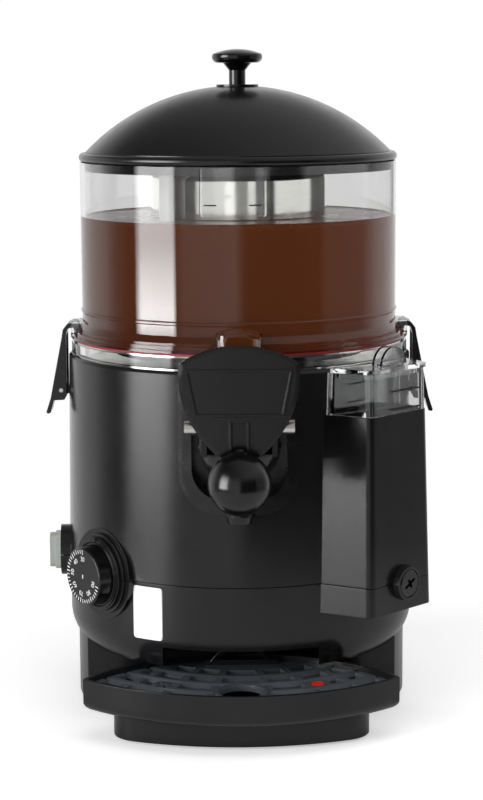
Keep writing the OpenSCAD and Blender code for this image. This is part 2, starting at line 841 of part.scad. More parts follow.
module tap_lever() {
    color(black) at_axis() difference() {
        union() {
            outward(shield_back, pin_z) {
                shield_plate();
                translate([0, 0, shield_t]) linear_extrude(height = 1.1) difference() {
                    shield_panel(0);
                    shield_panel(1.8);
                }
                // ribs beside the slot, and the web that closes it behind
                for (s = [-1, 1]) translate([s * 5.8 - 0.8, -13.4, 0]) cube([1.6, 18.4, shield_t + 1.6]);
                translate([-6, -18, -0.6]) cube([12, 24, 1.6]);
            }
            // cheeks that turn on the pin
            for (s = [-1, 1]) translate([s * 18.4, 0, 0]) rotate([90, 0, 90])
                linear_extrude(height = 5, center = true) {
                    translate([-pin_y, pin_z]) circle(lever_hub);
                    translate([-shield_back - 1, pin_z - lever_hub]) square([shield_back - pin_y + 1, 2 * lever_hub]);
                }
            // middle hub, and the finger that reaches into the piston's groove
            rotate([90, 0, 90]) linear_extrude(height = 6, center = true) {
                translate([-pin_y, pin_z]) circle(lever_hub);
                translate([-shield_back - 1, pin_z - lever_hub]) square([shield_back - pin_y + 1, 2 * lever_hub]);
                translate([-pin_y, pin_z - 2.2]) square([pin_y - finger_y, 4.4]);
                translate([-finger_y, pin_z]) circle(2.8);
            }
            // stem for the ball
            stem_frame()
                translate([0, 0, -16]) cylinder(r = 5, h = 18);
        }
        translate([-50, -pin_y, pin_z]) rotate([0, 90, 0]) cylinder(r = pin_r + run, h = 100);
    }
}

// the stem runs from the shield's foot to the middle of the ball
module stem_frame() {
    translate([0, -shield_back - 1.6, 205])
        rotate([-atan2(ball_y - shield_back - 1.6, 205 - ball_z), 0, 0]) children();
}

module ball_knob() {
    color([0.05, 0.05, 0.055]) at_axis() difference() {
        union() {
            translate([0, -ball_y, ball_z]) sphere(ball_r);
            stem_frame() translate([0, -2, -15]) cylinder(r1 = 13, r2 = 8, h = 13);
        }
        stem_frame()
            translate([0, 0, -16]) cylinder(r = 5, h = 30);
        translate([-40, -shield_back - shield_t - 0.05, pin_z - 19.5]) cube([80, 20, 60]);
    }
}

module tap_recess_insert() {
    color(soft_black) at_axis() difference() {
        union() {
            // flange in two steps that follow the housing's skin
            for (k = [[41.5, 96.6, 28, 1.4], [39.4, 94.5, 26.4, 2.5]]) intersection() {
                outward(96, deck_z) linear_extrude(height = 40) u_shape(k[0], k[1], k[2]);
                difference() {
                    housing_cone(k[3], 150, deck_z - 2.2);
                    housing_cone(0.05, 140, deck_z + 10);
                }
            }
            // trough behind it
            intersection() {
                outward(98, deck_z) linear_extrude(height = 40) u_shape(35, 88.6, 23.6);
                housing_cone(0.05, 150, deck_z);
            }
        }
        outward(100.4, deck_z + 1) linear_extrude(height = 40) u_shape(32.5, 87.4, 21);
        // room for the nozzle in front of the flange
        translate([0, -tap_y, 150]) cylinder(r = nozzle_r + 0.6, h = 40);
    }
}

// ---------------------------------------------------------------- lid

module lid() {
    cz = crown_z - dome_r;
    t = 2.6;
    lip_r = 3.2;
    lip_at = 110.8;
    color(black) at_axis() difference() {
        rotate_extrude() difference() {
            union() {
                // dome, and the rolled lip that stands out under its edge
                intersection() {
                    translate([0, cz]) circle(dome_r);
                    translate([0, rim_z + 1]) square([109.1, 60]);
                }
                square_from(100, rim_z, lip_at, rim_z + 2 * lip_r);
                translate([lip_at, rim_z + lip_r]) circle(lip_r);
                // skirt inside the container's rim
                square_from(105.6, rim_z - 6, 109.9, rim_z + 5);
            }
            intersection() {
                translate([0, cz]) circle(dome_r - t);
                translate([0, 370]) square([105.6, 80]);
            }
            translate([-10, 370]) square([10, 100]);
        }
        translate([0, 0, 430]) cylinder(r = 2.6, h = 20);
    }
}

module lid_knob() {
    top = crown_z + 25.7;
    edge_r = 4.2;
    color([0.05, 0.05, 0.055]) at_axis() difference() {
        rotate_extrude() difference() {
            union() {
                // cap: a shallow crown and a round edge
                intersection() {
                    translate([0, top - 46]) circle(46);
                    union() {
                        square_from(0, top - 8, knob_r - edge_r, top + 1);
                        translate([knob_r - edge_r, top - 5.6]) circle(edge_r);
                    }
                }
                polygon([[0, top - 15], [5.9, top - 15], [10.5, top - 9.4], [knob_r - edge_r, top - 9.2],
                         [knob_r - edge_r, top - 6], [0, top - 6]]);
                // stem, and the washer it stands on
                square_from(0, crown_z - 1.2, 5.9, top - 14);
                square_from(0, crown_z - 1.2, 15, crown_z + 0.7);
            }
            translate([-40, 0]) square([40, 600]);
            // the foot follows the dome
            translate([0, crown_z - dome_r]) circle(dome_r);
        }
        translate([0, 0, 430]) cylinder(r = 1.7, h = 24);
    }
}

module knob_screw() {
    color([0.7, 0.7, 0.7]) at_axis() translate([0, 0, crown_z - 2.8]) {
        translate([0, 0, -2.4]) difference() {
            cylinder(r1 = 3, r2 = 4.4, h = 2.3);
            translate([0, 0, 0.2]) cube([6, 1, 1.6], center = true);
        }
        translate([0, 0, -0.2]) cylinder(r = 1.7, h = 13);
    }
}

// ---------------------------------------------------------------- latches

latch_pin_x = 129.4;
latch_pin_z = 224.4;
latch_half = 11;

module latch_brackets() {
    color(black) at_axis() for (s = [-1, 1]) mirror([s > 0 ? 1 : 0, 0, 0])
        difference() {
            union() {
                translate([-latch_pin_x, 0, latch_pin_z]) rotate([90, 0, 0])
                    cylinder(r = 3.2, h = 12, center = true);
                translate([-latch_pin_x, -6, latch_pin_z - 3]) cube([8, 12, 6]);
            }
            housing_cone(0.05, 150, 260);
            translate([-latch_pin_x, 0, latch_pin_z]) rotate([90, 0, 0])
                cylinder(r = 1.5, h = 40, center = true);
        }
}

module latch_pins() {
    color([0.8, 0.8, 0.8]) at_axis() for (s = [-1, 1])
        translate([s * latch_pin_x, 0, latch_pin_z]) rotate([90, 0, 0])
            cylinder(r = 1.5, h = 2 * latch_half + 0.4, center = true);
}

// side view of the hook, outward to -X: a wedge-shaped cheek with a round toe at the pin
module latch_cheek() {
    difference() {
        polygon([[-127.6, 266.5], [-125.2, 266.5], [-125.2, 232], [-125.4, 220.4], [-127.2, 217.4],
                 [-135.6, 217], [-136.2, 219]]);
        translate([-latch_pin_x, latch_pin_z]) circle(1.5 + run);
    }
}

module latch() {
    web = 1.8;
    difference() {
        union() {
            for (s = [-1, 1]) translate([0, s * (latch_half - 0.9), 0]) rotate([90, 0, 0])
                linear_extrude(height = web, center = true) latch_cheek();
            // outer web, hook and finger tab
            rotate([90, 0, 0]) linear_extrude(height = 2 * latch_half, center = true) polygon([
                [-127.6, 266.5], [-125.6, 266.5], [-134.2, 219.4], [-134.6, 217.6], [-137.4, 207.8],
                [-139.4, 207.2], [-140.5, 208.4], [-137.2, 218.4]
            ]);
            rotate([90, 0, 0]) linear_extrude(height = 2 * latch_half, center = true) polygon([
                [-128.2, 264], [-127.4, 268.6], [-124.2, 272.6], [-120.7, 274.2], [-117.6, 273.6],
                [-116.2, 271.6], [-116.2, 267], [-118.4, 267], [-119.6, 270.4], [-123.8, 269.4],
                [-125.6, 264]
            ]);
        }
        for (s = [-1, 1]) translate([-latch_pin_x, s * latch_half, latch_pin_z])
            rotate([90, 0, 0]) cylinder(r = 1.5 + run, h = 12, center = true);
    }
}

module latch_left() { color(black) at_axis() latch(); }
module latch_right() { color(black) at_axis() mirror([1, 0, 0]) latch(); }

// ---------------------------------------------------------------- controls

module dial_bezel() {
    color(soft_black) at_axis() facing(-dial_az) outward(124, control_z) difference() {
        union() {
            ring(25.9, 12, 6.4);
            ring(24.6, 12, 7.4);
            // index mark
            translate([-0.9, 23, 0]) cube([1.8, 2.6, 8]);
        }
        translate([0, 0, 5]) cylinder(r = 22.8, h = 5);
    }
}

module dial() {
    color([0.05, 0.05, 0.055]) at_axis() facing(-dial_az) outward(129.3, control_z) difference() {
        union() {
            cylinder(r = 22.2, h = 1.6);
            translate([0, 0, 1.6]) cylinder(r1 = 21.2, r2 = 20.2, h = 10.4);
            translate([0, 0, 12]) cylinder(r1 = 20.2, r2 = 19.4, h = 0.8);
        }
        translate([0, 0, -1]) cylinder(r = 3, h = 9);
    }
}

module dial_spindle() {
    color([0.7, 0.7, 0.7]) at_axis() facing(-dial_az) outward(99, control_z) cylinder(r = 3, h = 38.3);
}

module switch_body() {
    color(soft_black) at_axis() facing(-switch_az) outward(100, control_z) difference() {
        union() {
            linear_extrude(height = 28.1) square([14, 22], center = true);
            translate([0, 0, 28.05]) linear_extrude(height = 2) round_rect(19, 27.4, 2);
            for (z = [-7, 0, 7]) translate([-3, z - 0.4, -8]) cube([6, 0.8, 8]);
        }
        translate([0, 0, 20]) linear_extrude(height = 20) square([11.4, 19.4], center = true);
        translate([0, 0, rocker_pivot]) rotate([0, 90, 0])
            cylinder(r = 1.5 + run, h = 15.2, center = true);
    }
}

// rocker that tips about a level line across its middle
module switch_rocker() {
    color([0.2, 0.75, 0.45]) at_axis() facing(-switch_az) outward(100, control_z) {
        rotate([90, 0, 90]) linear_extrude(height = 10.6, center = true) polygon([
            [-8.6, 24], [8.6, 24], [9, 33.4], [0, 31], [-9, 35.6]
        ]);
        translate([0, 0, rocker_pivot]) rotate([0, 90, 0])
            cylinder(r = 1.5, h = 13.2, center = true);
    }
}

module switch_boot() {
    color([0.85, 0.92, 0.9, 0.4]) at_axis() facing(-switch_az) outward(128.05, control_z)
        difference() {
            union() {
                translate([0, 0, 2.05]) linear_extrude(height = 1.4) round_rect(22.4, 29, 3);
                linear_extrude(height = 8) round_rect(17.4, 26.4, 4);
                translate([0, 0, 8]) linear_extrude(height = 4.3) round_rect(14.6, 24.4, 4);
            }
            translate([0, 0, -1]) linear_extrude(height = 3.05) round_rect(19.2, 27.6, 2);
            translate([0, 0, -1]) linear_extrude(height = 12.2) round_rect(12.6, 22.6, 2.4);
        }
}

// ---------------------------------------------------------------- side tank

module tank_window() {
    color(clear) at_axis() difference() {
        tank_block(tank_split_z + 0.05, window_top, 0.4);
        tank_block(tank_split_z - 2, window_top + 2, tank_wall + 0.4);
        translate([0, 0, 200]) cylinder(r = housing_seam_r + 0.1, h = 100);
    }
    // curved wall next to the housing
    color(clear) at_axis() intersection() {
        tank_block(tank_split_z + 0.05, window_top, 0.6);
        translate([0, 0, tank_split_z + 0.05]) ring(housing_seam_r + 2, housing_seam_r + 0.1, 40);
    }
}

module tank_lid() {
    color(clear) at_axis() {
        difference() {
            union() {
                tank_block(window_top + 0.1, window_top + 2.9, -0.8);
                difference() {
                    tank_block(window_top - 4, window_top + 1, tank_wall + 0.8);
                    tank_block(window_top - 5, window_top, tank_wall + 2.6);
                }
            }
            translate([0, 0, 200]) cylinder(r = housing_seam_r + 3, h = 100);
        }
        // two half-round finger grips
        facing(tank_az) for (y = [-136.5, -143.5]) translate([2, y, window_top + 2.8])
            rotate([90, 0, 0]) linear_extrude(height = 2) intersection() {
                circle(13);
                translate([-20, 0]) square([40, 20]);
            }
        facing(tank_az) translate([-8, -145.5, window_top + 2.8]) cube([20, 9.8, 1.6]);
    }
}

module drain_collar() {
    color(black) at_axis() facing(tank_az) outward(drain_face - 10, drain_z) translate([drain_side, 0, 0])
        difference() {
            union() {
                cylinder(r = 8.9, h = 12);
                translate([0, 0, 10.05]) cylinder(r1 = 12.4, r2 = 11.6, h = 5);
            }
            translate([0, 0, -1]) cylinder(r = 6.4, h = 20);
            translate([0, 0, 11]) cylinder(r = 9.8, h = 5);
        }
}

module drain_plug() {
    color([0.06, 0.06, 0.065]) at_axis() facing(tank_az) outward(drain_face - 8, drain_z)
        translate([drain_side, 0, 0]) difference() {
            union() {
                cylinder(r = 6.3, h = 9.6);
                translate([0, 0, 9.6]) cylinder(r = 9.5, h = 3.2);
                translate([0, 0, 12.8]) cylinder(r1 = 9.5, r2 = 8.6, h = 0.8);
            }
            translate([0, 0, 12.8]) rotate([0, 0, 30]) cube([11, 2.2, 3.6], center = true);
            translate([0, 0, 12.8]) rotate([0, 0, -60]) cube([7, 2.2, 3.6], center = true);
        }
}

module drain_seal() {
    color([0.78, 0.14, 0.15]) at_axis() facing(tank_az) outward(drain_face + 1, drain_z)
        translate([drain_side, 0, 0]) ring(9.2, 6.6, 0.55);
}

// ---------------------------------------------------------------- drip tray

module tray_lens(d, z0, z1, f) {
    translate([0, 0, z0]) intersection() {
        translate([0, -tray_front_c, 0]) round_drum(tray_front_r - d, z1 - z0, f);
        translate([0, -tray_back_c, 0]) round_drum(tray_back_r - d, z1 - z0, f);
        translate([-108 + d, -200, -1]) cube([216 - 2 * d, 200, 100]);
    }
}

module drip_tray() {
    color(black) at_axis() {
        difference() {
            tray_lens(0, tray_bottom, tray_rim_z, tray_fillet);
            tray_lens(tray_wall, tray_bottom + 2.2, tray_rim_z + 5, tray_fillet - 2);
            translate([46, -132, 20]) cylinder(r = 2.6, h = 4);
        }
        // posts that the grille rests on
        for (x = [-72, -24, 24, 72]) translate([x, -118, tray_bottom + 1])
            cylinder(r = 3, h = grille_z - tray_bottom - 1.05);
    }
}

// the grille's rows: how far apart, how wide its bars are, and where the first slot starts
grille_pitch = 18.6;
grille_bar = 8;
grille_first = tray_front_r - 8;
cup_y = 152;

module grille_row(r0, r1) {
    difference() {
        circle(r1);
        circle(r0);
    }
}

module grille_plan() {
    difference() {
        intersection() {
            translate([0, -tray_front_c]) circle(tray_front_r - tray_wall - 0.5);
            translate([0, -tray_back_c]) circle(tray_back_r - tray_wall - 0.5);
            square([2 * (108 - tray_wall - 0.5), 600], center = true);
        }
        intersection() {
            translate([0, -tray_front_c]) for (i = [0:grille_rows - 1])
                grille_row(grille_first - i * grille_pitch - (grille_pitch - grille_bar),
                           grille_first - i * grille_pitch);
            translate([0, -tray_front_c]) circle(tray_front_r - 7);
            translate([0, -tray_back_c]) circle(tray_back_r - 8);
            square([190, 600], center = true);
            difference() {
                square([400, 600], center = true);
                // spokes
                translate([0, -tray_front_c]) for (a = [-34, -21, -8.4, 8.4, 21, 34])
                    rotate(a) translate([-2.6, -200]) square([5.2, 200]);
                // discs round the cup ring, the blind hole and the float
                translate([0, -cup_y]) circle(19);
                for (s = [-1, 1]) translate([s * 52, -132]) circle(9);
            }
        }
        translate([0, -cup_y]) circle(14.5);
        translate([-52, -132]) difference() {
            circle(6.5);
            for (a = [0, 60, 120]) rotate(a) square([13.4, 1.5], center = true);
        }
        translate([52, -132]) circle(5);
    }
}

module tray_grille() {
    top = grille_z + grille_t;
    slope = 2.2;
    color([0.06, 0.06, 0.065]) at_axis() {
        difference() {
            translate([0, 0, grille_z]) linear_extrude(height = grille_t) grille_plan();
            // each bar slopes down to the slot in front of it
            difference() {
                translate([0, -tray_front_c, 0]) rotate_extrude()
                    for (i = [1:grille_rows - 1]) let (r = grille_first - i * grille_pitch + grille_bar)
                        polygon([[r - 4.6, top + 0.01], [r + 0.01, top + 0.01], [r + 0.01, top - slope]]);
                translate([0, -cup_y, grille_z]) cylinder(r = 19, h = 10);
            }
        }
        // raised ring round the cup place
        translate([0, -cup_y, top - 0.1]) ring(18, 15.6, 1.1);
    }
}

// arched lift tab at the back of the grille, with a bead along its edge
module grille_tab() {
    arch_r = 24;
    arch_drop = 10;
    bead = 1.1;
    color([0.06, 0.06, 0.065]) at_axis() outward(83, grille_z + grille_t) {
        linear_extrude(height = 2.2) {
            square_from(-25.5, 0, 25.5, 3.4);
            difference() {
                intersection() {
                    translate([0, -arch_drop]) circle(arch_r);
                    square_from(-24, 0, 24, 30);
                }
                intersection() {
                    translate([0, -arch_drop]) circle(arch_r - 2.4);
                    square_from(-24, 3.2, 24, 9);
                }
            }
        }
        intersection() {
            translate([0, -arch_drop, 1.1]) rotate_extrude() translate([arch_r, 0]) circle(bead + 0.3);
            translate([-30, 2, -3]) cube([60, 30, 10]);
        }
    }
}

module tray_float() {
    color([0.85, 0.08, 0.07]) at_axis() translate([52, -132, tray_bottom + 2.3]) {
        cylinder(r = 7, h = 6);
        cylinder(r = 4.4, h = grille_z + grille_t - tray_bottom - 2.3);
    }
}

// ---------------------------------------------------------------- drawing

lower_housing();
upper_housing();
tap_recess_insert();
base_plate();
rubber_feet();
base_screws();
bath_pan();
heating_column();
base_ring();
bath_gasket();
heater_ring();
gear_motor();
motor_bracket();
drive_shaft();
shaft_seal();
stirrer();
thermostat();
thermal_cutout();
terminal_block();
feed_pipe();
drain_pipe();
cord_gland();
container();
chocolate_fill();
tap_body();
outlet_seal();
tap_pin();
piston();
piston_seal();
piston_spring();
tap_lever();
ball_knob();
lid();
lid_knob();
knob_screw();
latch_brackets();
latch_pins();
latch_left();
latch_right();
dial_bezel();
dial();
dial_spindle();
switch_body();
switch_rocker();
switch_boot();
tank_window();
tank_lid();
drain_collar();
drain_plug();
drain_seal();
drip_tray();
tray_grille();
grille_tab();
tray_float();
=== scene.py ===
# %% [markdown]
# A counter-top hot chocolate dispenser.
# The engineering model gives every solid its place. This lesson gives each one its finish,
# and adds the few things that are too soft, too wet or too thin for a solid model: the drink,
# the level film, the blank label, the dial's scale, the lines on the water tank and the spring
# that the tap presses together.
# The frame is loaded first.

# %% load the frame
import math

import bmesh
import bpy
import numpy as np
from mathutils import Euler, Matrix, Vector


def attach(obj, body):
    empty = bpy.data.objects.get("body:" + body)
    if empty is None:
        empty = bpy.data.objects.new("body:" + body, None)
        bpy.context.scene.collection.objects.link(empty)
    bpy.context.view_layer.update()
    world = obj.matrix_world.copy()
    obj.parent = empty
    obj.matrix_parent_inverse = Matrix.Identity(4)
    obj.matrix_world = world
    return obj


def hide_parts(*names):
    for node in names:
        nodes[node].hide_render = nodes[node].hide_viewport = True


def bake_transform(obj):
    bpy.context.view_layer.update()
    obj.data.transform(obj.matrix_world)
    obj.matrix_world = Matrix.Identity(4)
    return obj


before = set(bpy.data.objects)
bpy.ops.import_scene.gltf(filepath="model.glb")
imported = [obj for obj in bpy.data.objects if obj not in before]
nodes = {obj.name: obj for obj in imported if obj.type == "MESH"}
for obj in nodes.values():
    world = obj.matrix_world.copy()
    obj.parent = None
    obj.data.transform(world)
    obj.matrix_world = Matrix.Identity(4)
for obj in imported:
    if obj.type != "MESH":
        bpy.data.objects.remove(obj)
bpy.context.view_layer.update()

# %% [markdown]
# The photograph was taken from the front, a little above the rim of the container, with a
# long lens: the bands round the machine open only slightly. A camera model was fitted to
# the rims and edges, and its place, tilt and roll are written here in metres and radians.
# The focal length was found in pixels, and a lens in Blender wants it in sensor millimetres.

# %% camera
CAMERA_AT = (0.00146, -1.43815, 0.4485)
CAMERA_TILT = 0.157       # looking down
CAMERA_ROLL = 0.007
PIXEL_HEIGHT = 800        # of the photograph
FOCAL_PIXELS = 2044
SENSOR_HEIGHT = 36        # mm

lens = bpy.data.cameras.new("long_lens")
lens.sensor_fit = "VERTICAL"
lens.sensor_height = SENSOR_HEIGHT
lens.lens = SENSOR_HEIGHT * FOCAL_PIXELS / PIXEL_HEIGHT
lens.clip_end = 50
lens.dof.use_dof = False
camera = bpy.data.objects.new("long_lens", lens)
camera.location = CAMERA_AT
camera.rotation_mode = "XYZ"
look = Euler((math.pi / 2 - CAMERA_TILT, 0, 0)).to_matrix()
camera.rotation_euler = (look @ Matrix.Rotation(-CAMERA_ROLL, 3, "Z")).to_euler("XYZ")
bpy.context.scene.collection.objects.link(camera)
bpy.context.scene.camera = camera
print("camera: lens", round(lens.lens, 2), "mm")

# %% [markdown]
# Every new piece is a sheet of points worked out with numpy, in millimetres about the upright
# axis of the container, with the front at negative y. One helper sets such points into the
# frame, which is in metres, and a second joins the points of a grid with four-sided faces.

# %% helpers that set a sheet of points into the frame
MM = 0.001
AXIS_Y = 39.35            # how far the container's axis is behind the frame's origin, mm


def mesh_piece(name, points, faces, body, material, smooth=True):
    """A new piece that rides on a body, or on none."""
    mesh = bpy.data.meshes.new(name)
    placed = (np.asarray(points, float).reshape(-1, 3) + (0, AXIS_Y, 0)) * MM
    mesh.from_pydata(placed.tolist(), [], np.asarray(faces).tolist())
    mesh.polygons.foreach_set("use_smooth", np.full(len(mesh.polygons), smooth))
    mesh.materials.append(material)
    mesh.update()
    piece = bpy.data.objects.new(name, mesh)
    bpy.context.scene.collection.objects.link(piece)
    if body:
        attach(piece, body)
    return piece


def grid_faces(rows, columns, wrap_rows=False, wrap_columns=False, first=0):
    """Quads between neighbouring points of a rows x columns grid, wrapping where asked."""
    i = np.arange(rows if wrap_rows else rows - 1)[:, None]
    j = np.arange(columns if wrap_columns else columns - 1)[None, :]
    i2, j2 = (i + 1) % rows, (j + 1) % columns
    quads = np.stack([i * columns + j, i * columns + j2, i2 * columns + j2, i2 * columns + j], -1)
    return quads.reshape(-1, 4) + first


print("two helpers for sheets of points")

# %% [markdown]
# Two shapes are enough for most pieces here. A slab takes a front grid and a back grid and
# sews their edges together, and a turned ring carries a closed outline once round an upright
# axis. Both come out closed, with their faces outward.

# %% slab and turned ring


def slab(front, back):
    """Closed sheet: the front grid, the back grid turned over, and a strip round the edge.

    The strip joins each point of the front's border to the same point of the back's.
    """
    rows, columns = front.shape[:2]
    count = rows * columns
    index = np.arange(count).reshape(rows, columns)
    border = np.concatenate([index[0], index[1:, -1], index[-1, -2::-1], index[-2:0:-1, 0]])
    after = np.roll(border, -1)
    faces = np.concatenate([
        grid_faces(rows, columns),
        grid_faces(rows, columns, first=count)[:, ::-1],
        np.stack([border, border + count, after + count, after], -1),
    ])
    return np.concatenate([front.reshape(-1, 3), back.reshape(-1, 3)]), faces


def turned_ring(outline, steps=192):
    """A closed outline of (radius, height) pairs carried round the upright axis.

    The point at angle a is (radius sin a, -radius cos a, height), so a = 0 is the front.
    The outline runs upward on its outer side, which turns every face outward.
    """
    outline = np.asarray(outline, float)
    a = np.arange(steps) * 2 * math.pi / steps
    r, z = outline[:, 0][None, :], outline[:, 1][None, :]
    points = np.stack([r * np.sin(a)[:, None], -r * np.cos(a)[:, None], z + 0 * a[:, None]], -1)
    return points.reshape(-1, 3), grid_faces(steps, len(outline), True, True)


print("slab and turned ring ready")

# %% [markdown]
# Materials are built from nodes. These helpers keep each of them to a few lines: one starts a
# material from its colour, roughness and other sockets, one adds a node, and two more work a
# sum or mix two greys, where a value may be a number or the output of another node.

# %% helpers that add nodes


def principled(name, colour, roughness, **sockets):
    """A material with its shader's sockets set by name, an underscore for each space."""
    material = bpy.data.materials.new(name)
    material.use_nodes = True
    tree = material.node_tree
    shader = tree.nodes["Principled BSDF"]
    shader.inputs["Base Color"].default_value = (*colour, 1)
    shader.inputs["Roughness"].default_value = roughness
    for socket, value in sockets.items():
        shader.inputs[socket.replace("_", " ")].default_value = value
    return material, tree, shader


def add(tree, kind, **settings):
    """A node of one kind, with its properties and its inputs set by name."""
    node = tree.nodes.new("ShaderNode" + kind)
    for name, value in settings.items():
        if hasattr(node, name):
            setattr(node, name, value)
        else:
            node.inputs[name.replace("_", " ")].default_value = value
    return node


def combine(tree, operation, first, second):
    """One Math node of two values."""
    node = add(tree, "Math", operation=operation)
    for socket, value in zip(node.inputs, (first, second)):
        if isinstance(value, (int, float)):
            socket.default_value = value
        else:
            tree.links.new(value, socket)
    return node.outputs[0]


def blend(tree, factor, first, second):
    """First where the factor is 0, second where it is 1; each a grey level or an output."""
    mix = add(tree, "Mix", data_type="RGBA")
    tree.links.new(factor, mix.inputs["Factor"])
    for socket, value in ((mix.inputs[FIRST_COLOUR], first), (mix.inputs[SECOND_COLOUR], second)):
        if isinstance(value, (int, float)):
            socket.default_value = (value, value, value, 1)
        else:
            tree.links.new(value, socket)
    return mix.outputs[MIXED_COLOUR]


# a Mix node keeps sockets for every kind of data, and these are the ones for colours
FIRST_COLOUR, SECOND_COLOUR, MIXED_COLOUR = 6, 7, 2
print("four helpers for nodes")

# %% [markdown]
# Nothing real has one flat colour. Noise on Object coordinates stays with the piece as it
# moves, so it drives the colour, the roughness and the fine relief of every finish. A Bevel
# node rounds the sharp edges of the solids for the light only, as the mould's edges are.

# %% helpers that vary a surface


def noise(tree, scale, stretch=(1, 1, 1), detail=3.0, roughness=0.55):
    """Noise on Object coordinates; scale is in cells per metre, stretch multiplies each axis."""
    where = add(tree, "TexCoord")
    mapping = add(tree, "Mapping")
    mapping.inputs["Scale"].default_value = stretch
    cloud = add(tree, "TexNoise", Scale=scale, Detail=detail, Roughness=roughness)
    tree.links.new(where.outputs["Object"], mapping.inputs["Vector"])
    tree.links.new(mapping.outputs["Vector"], cloud.inputs["Vector"])
    return cloud.outputs["Fac"]


def spread(tree, value, low, high, start=0.3, end=0.7):
    """Carries a value from start..end to low..high, and stops at both ends.

    Noise keeps mostly between 0.3 and 0.7, so that is the usual start and end.
    """
    ramp = add(tree, "MapRange")
    ramp.inputs["From Min"].default_value = start
    ramp.inputs["From Max"].default_value = end
    ramp.inputs["To Min"].default_value = low
    ramp.inputs["To Max"].default_value = high
    tree.links.new(value, ramp.inputs["Value"])
    return ramp.outputs["Result"]


def shade(tree, shader, value, dark, light):
    """Base colour that moves between two colours with a value from 0 to 1."""
    mix = add(tree, "Mix", data_type="RGBA")
    mix.inputs[FIRST_COLOUR].default_value = (*dark, 1)
    mix.inputs[SECOND_COLOUR].default_value = (*light, 1)
    tree.links.new(value, mix.inputs["Factor"])
    tree.links.new(mix.outputs[MIXED_COLOUR], shader.inputs["Base Color"])


def raise_grain(tree, shader, value, depth, edge=0.0):
    """Bump of a depth in metres, over a normal that rounds sharp edges by the given radius."""
    bump = add(tree, "Bump")
    bump.inputs["Strength"].default_value = 1.0
    bump.inputs["Distance"].default_value = depth
    tree.links.new(value, bump.inputs["Height"])
    if edge:
        soft = add(tree, "Bevel", samples=4)
        soft.inputs["Radius"].default_value = edge
        tree.links.new(soft.outputs["Normal"], bump.inputs["Normal"])
    tree.links.new(bump.outputs["Normal"], shader.inputs["Normal"])


print("four helpers for surfaces")

# %% [markdown]
# Most of the machine is moulded plastic. Three noises do the work: a slow one shifts the
# colour a little, a middle one shifts the roughness, and a fine one raises the grain that the
# mould leaves. The same recipe with other numbers serves for silicone and rubber.

# %% moulded plastic
COLOUR_CELLS, SHEEN_CELLS = 26, 90        # noise cells per metre


def moulded(name, colour, roughness, grain=2600, depth=0.00002, vary=0.25, edge=0.0004,
            rough_vary=0.12, **sockets):
    """Plastic from a mould: slow colour drift, patchy sheen, fine raised grain."""
    material, tree, shader = principled(name, colour, roughness, **sockets)
    dark = tuple(c * (1 - vary) for c in colour)
    light = tuple(min(1, c * (1 + vary)) for c in colour)
    shade(tree, shader, spread(tree, noise(tree, COLOUR_CELLS), 0, 1), dark, light)
    sheen = spread(tree, noise(tree, SHEEN_CELLS, detail=4), roughness - rough_vary / 2,
                   roughness + rough_vary / 2)
    tree.links.new(sheen, shader.inputs["Roughness"])
    raise_grain(tree, shader, noise(tree, grain, detail=2), depth, edge)
    return material


def wear(material_nodes, material):
    """Puts one finish on a list of CAD solids."""
    for node in material_nodes:
        solid = nodes[node]
        if not len(solid.material_slots):
            solid.data.materials.append(material)
        for slot in solid.material_slots:
            slot.material = material
    print(material.name, "on", ", ".join(material_nodes))


# %% [markdown]
# The housings are moulded in black with a fine spark-eroded grain. The grain is a bump of five
# hundredths of a millimetre: enough to break a highlight, too little to see as shape. Their
# plastic reflects a little less than a polished one, so its specular level is lower. The
# insert behind the tap and the body of the switch are a deeper black.

# %% satin black housing
shell_black = moulded("shell_black", (0.008, 0.008, 0.0088), 0.17, grain=1700, depth=0.00005,
                      vary=0.2, edge=0.0007, rough_vary=0.05, Specular_IOR_Level=0.35)
wear(["lower_housing", "upper_housing", "drip_tray", "dial_bezel", "latch_brackets",
      "drain_collar", "cord_gland"], shell_black)
insert_black = moulded("insert_black", (0.003, 0.003, 0.0033), 0.26, grain=2400, depth=0.00003)
wear(["tap_recess_insert", "switch_body"], insert_black)

# %% [markdown]
# Knobs, lever and tap come from polished moulds. They are darker and have hardly any grain:
# only a very shallow ripple keeps their highlights from looking machined. The lid is a little
# duller. The grille's lighter blue-grey is a painted sheen. It stands in for the ceiling's
# reflection on its bars, so that they stand out over the dark tray.

# %% polished black
gloss_black = moulded("gloss_black", (0.003, 0.003, 0.0035), 0.2, grain=420, depth=0.000008,
                      vary=0.1, edge=0.0009, rough_vary=0.06)
wear(["tap_lever", "latch_left", "latch_right", "dial", "thermal_cutout"], gloss_black)
mirror_black = moulded("mirror_black", (0.002, 0.002, 0.0024), 0.2, grain=300,
                       depth=0.000006, vary=0.1, rough_vary=0.05)
wear(["lid_knob", "ball_knob", "tap_body", "drain_plug", "grille_tab"], mirror_black)
# painted sheen: the grille's pale blue-grey colour stands in for the ceiling's reflection on its
# bars
grille_painted_sheen = moulded("grille_painted_sheen", (0.06, 0.066, 0.075), 0.22, grain=900, depth=0.00001,
                      vary=0.15, rough_vary=0.08)
wear(["tray_grille"], grille_painted_sheen)
lid_black = moulded("lid_black", (0.003, 0.003, 0.0033), 0.24, grain=1500, depth=0.000012,
                    vary=0.08, rough_vary=0.06)
wear(["lid"], lid_black)

# %% [markdown]
# The container, the tank and the ring under the bowl are clear. Cycles bends light through
# the real wall, and the shader lets the lamps' shadow rays pass straight through, so that
# what stands inside is lit. The mould leaves a faint ripple, which is stronger on the tank.
# The soft boot over the switch is milky, so it passes only a part of the light.

# %% clear plastics


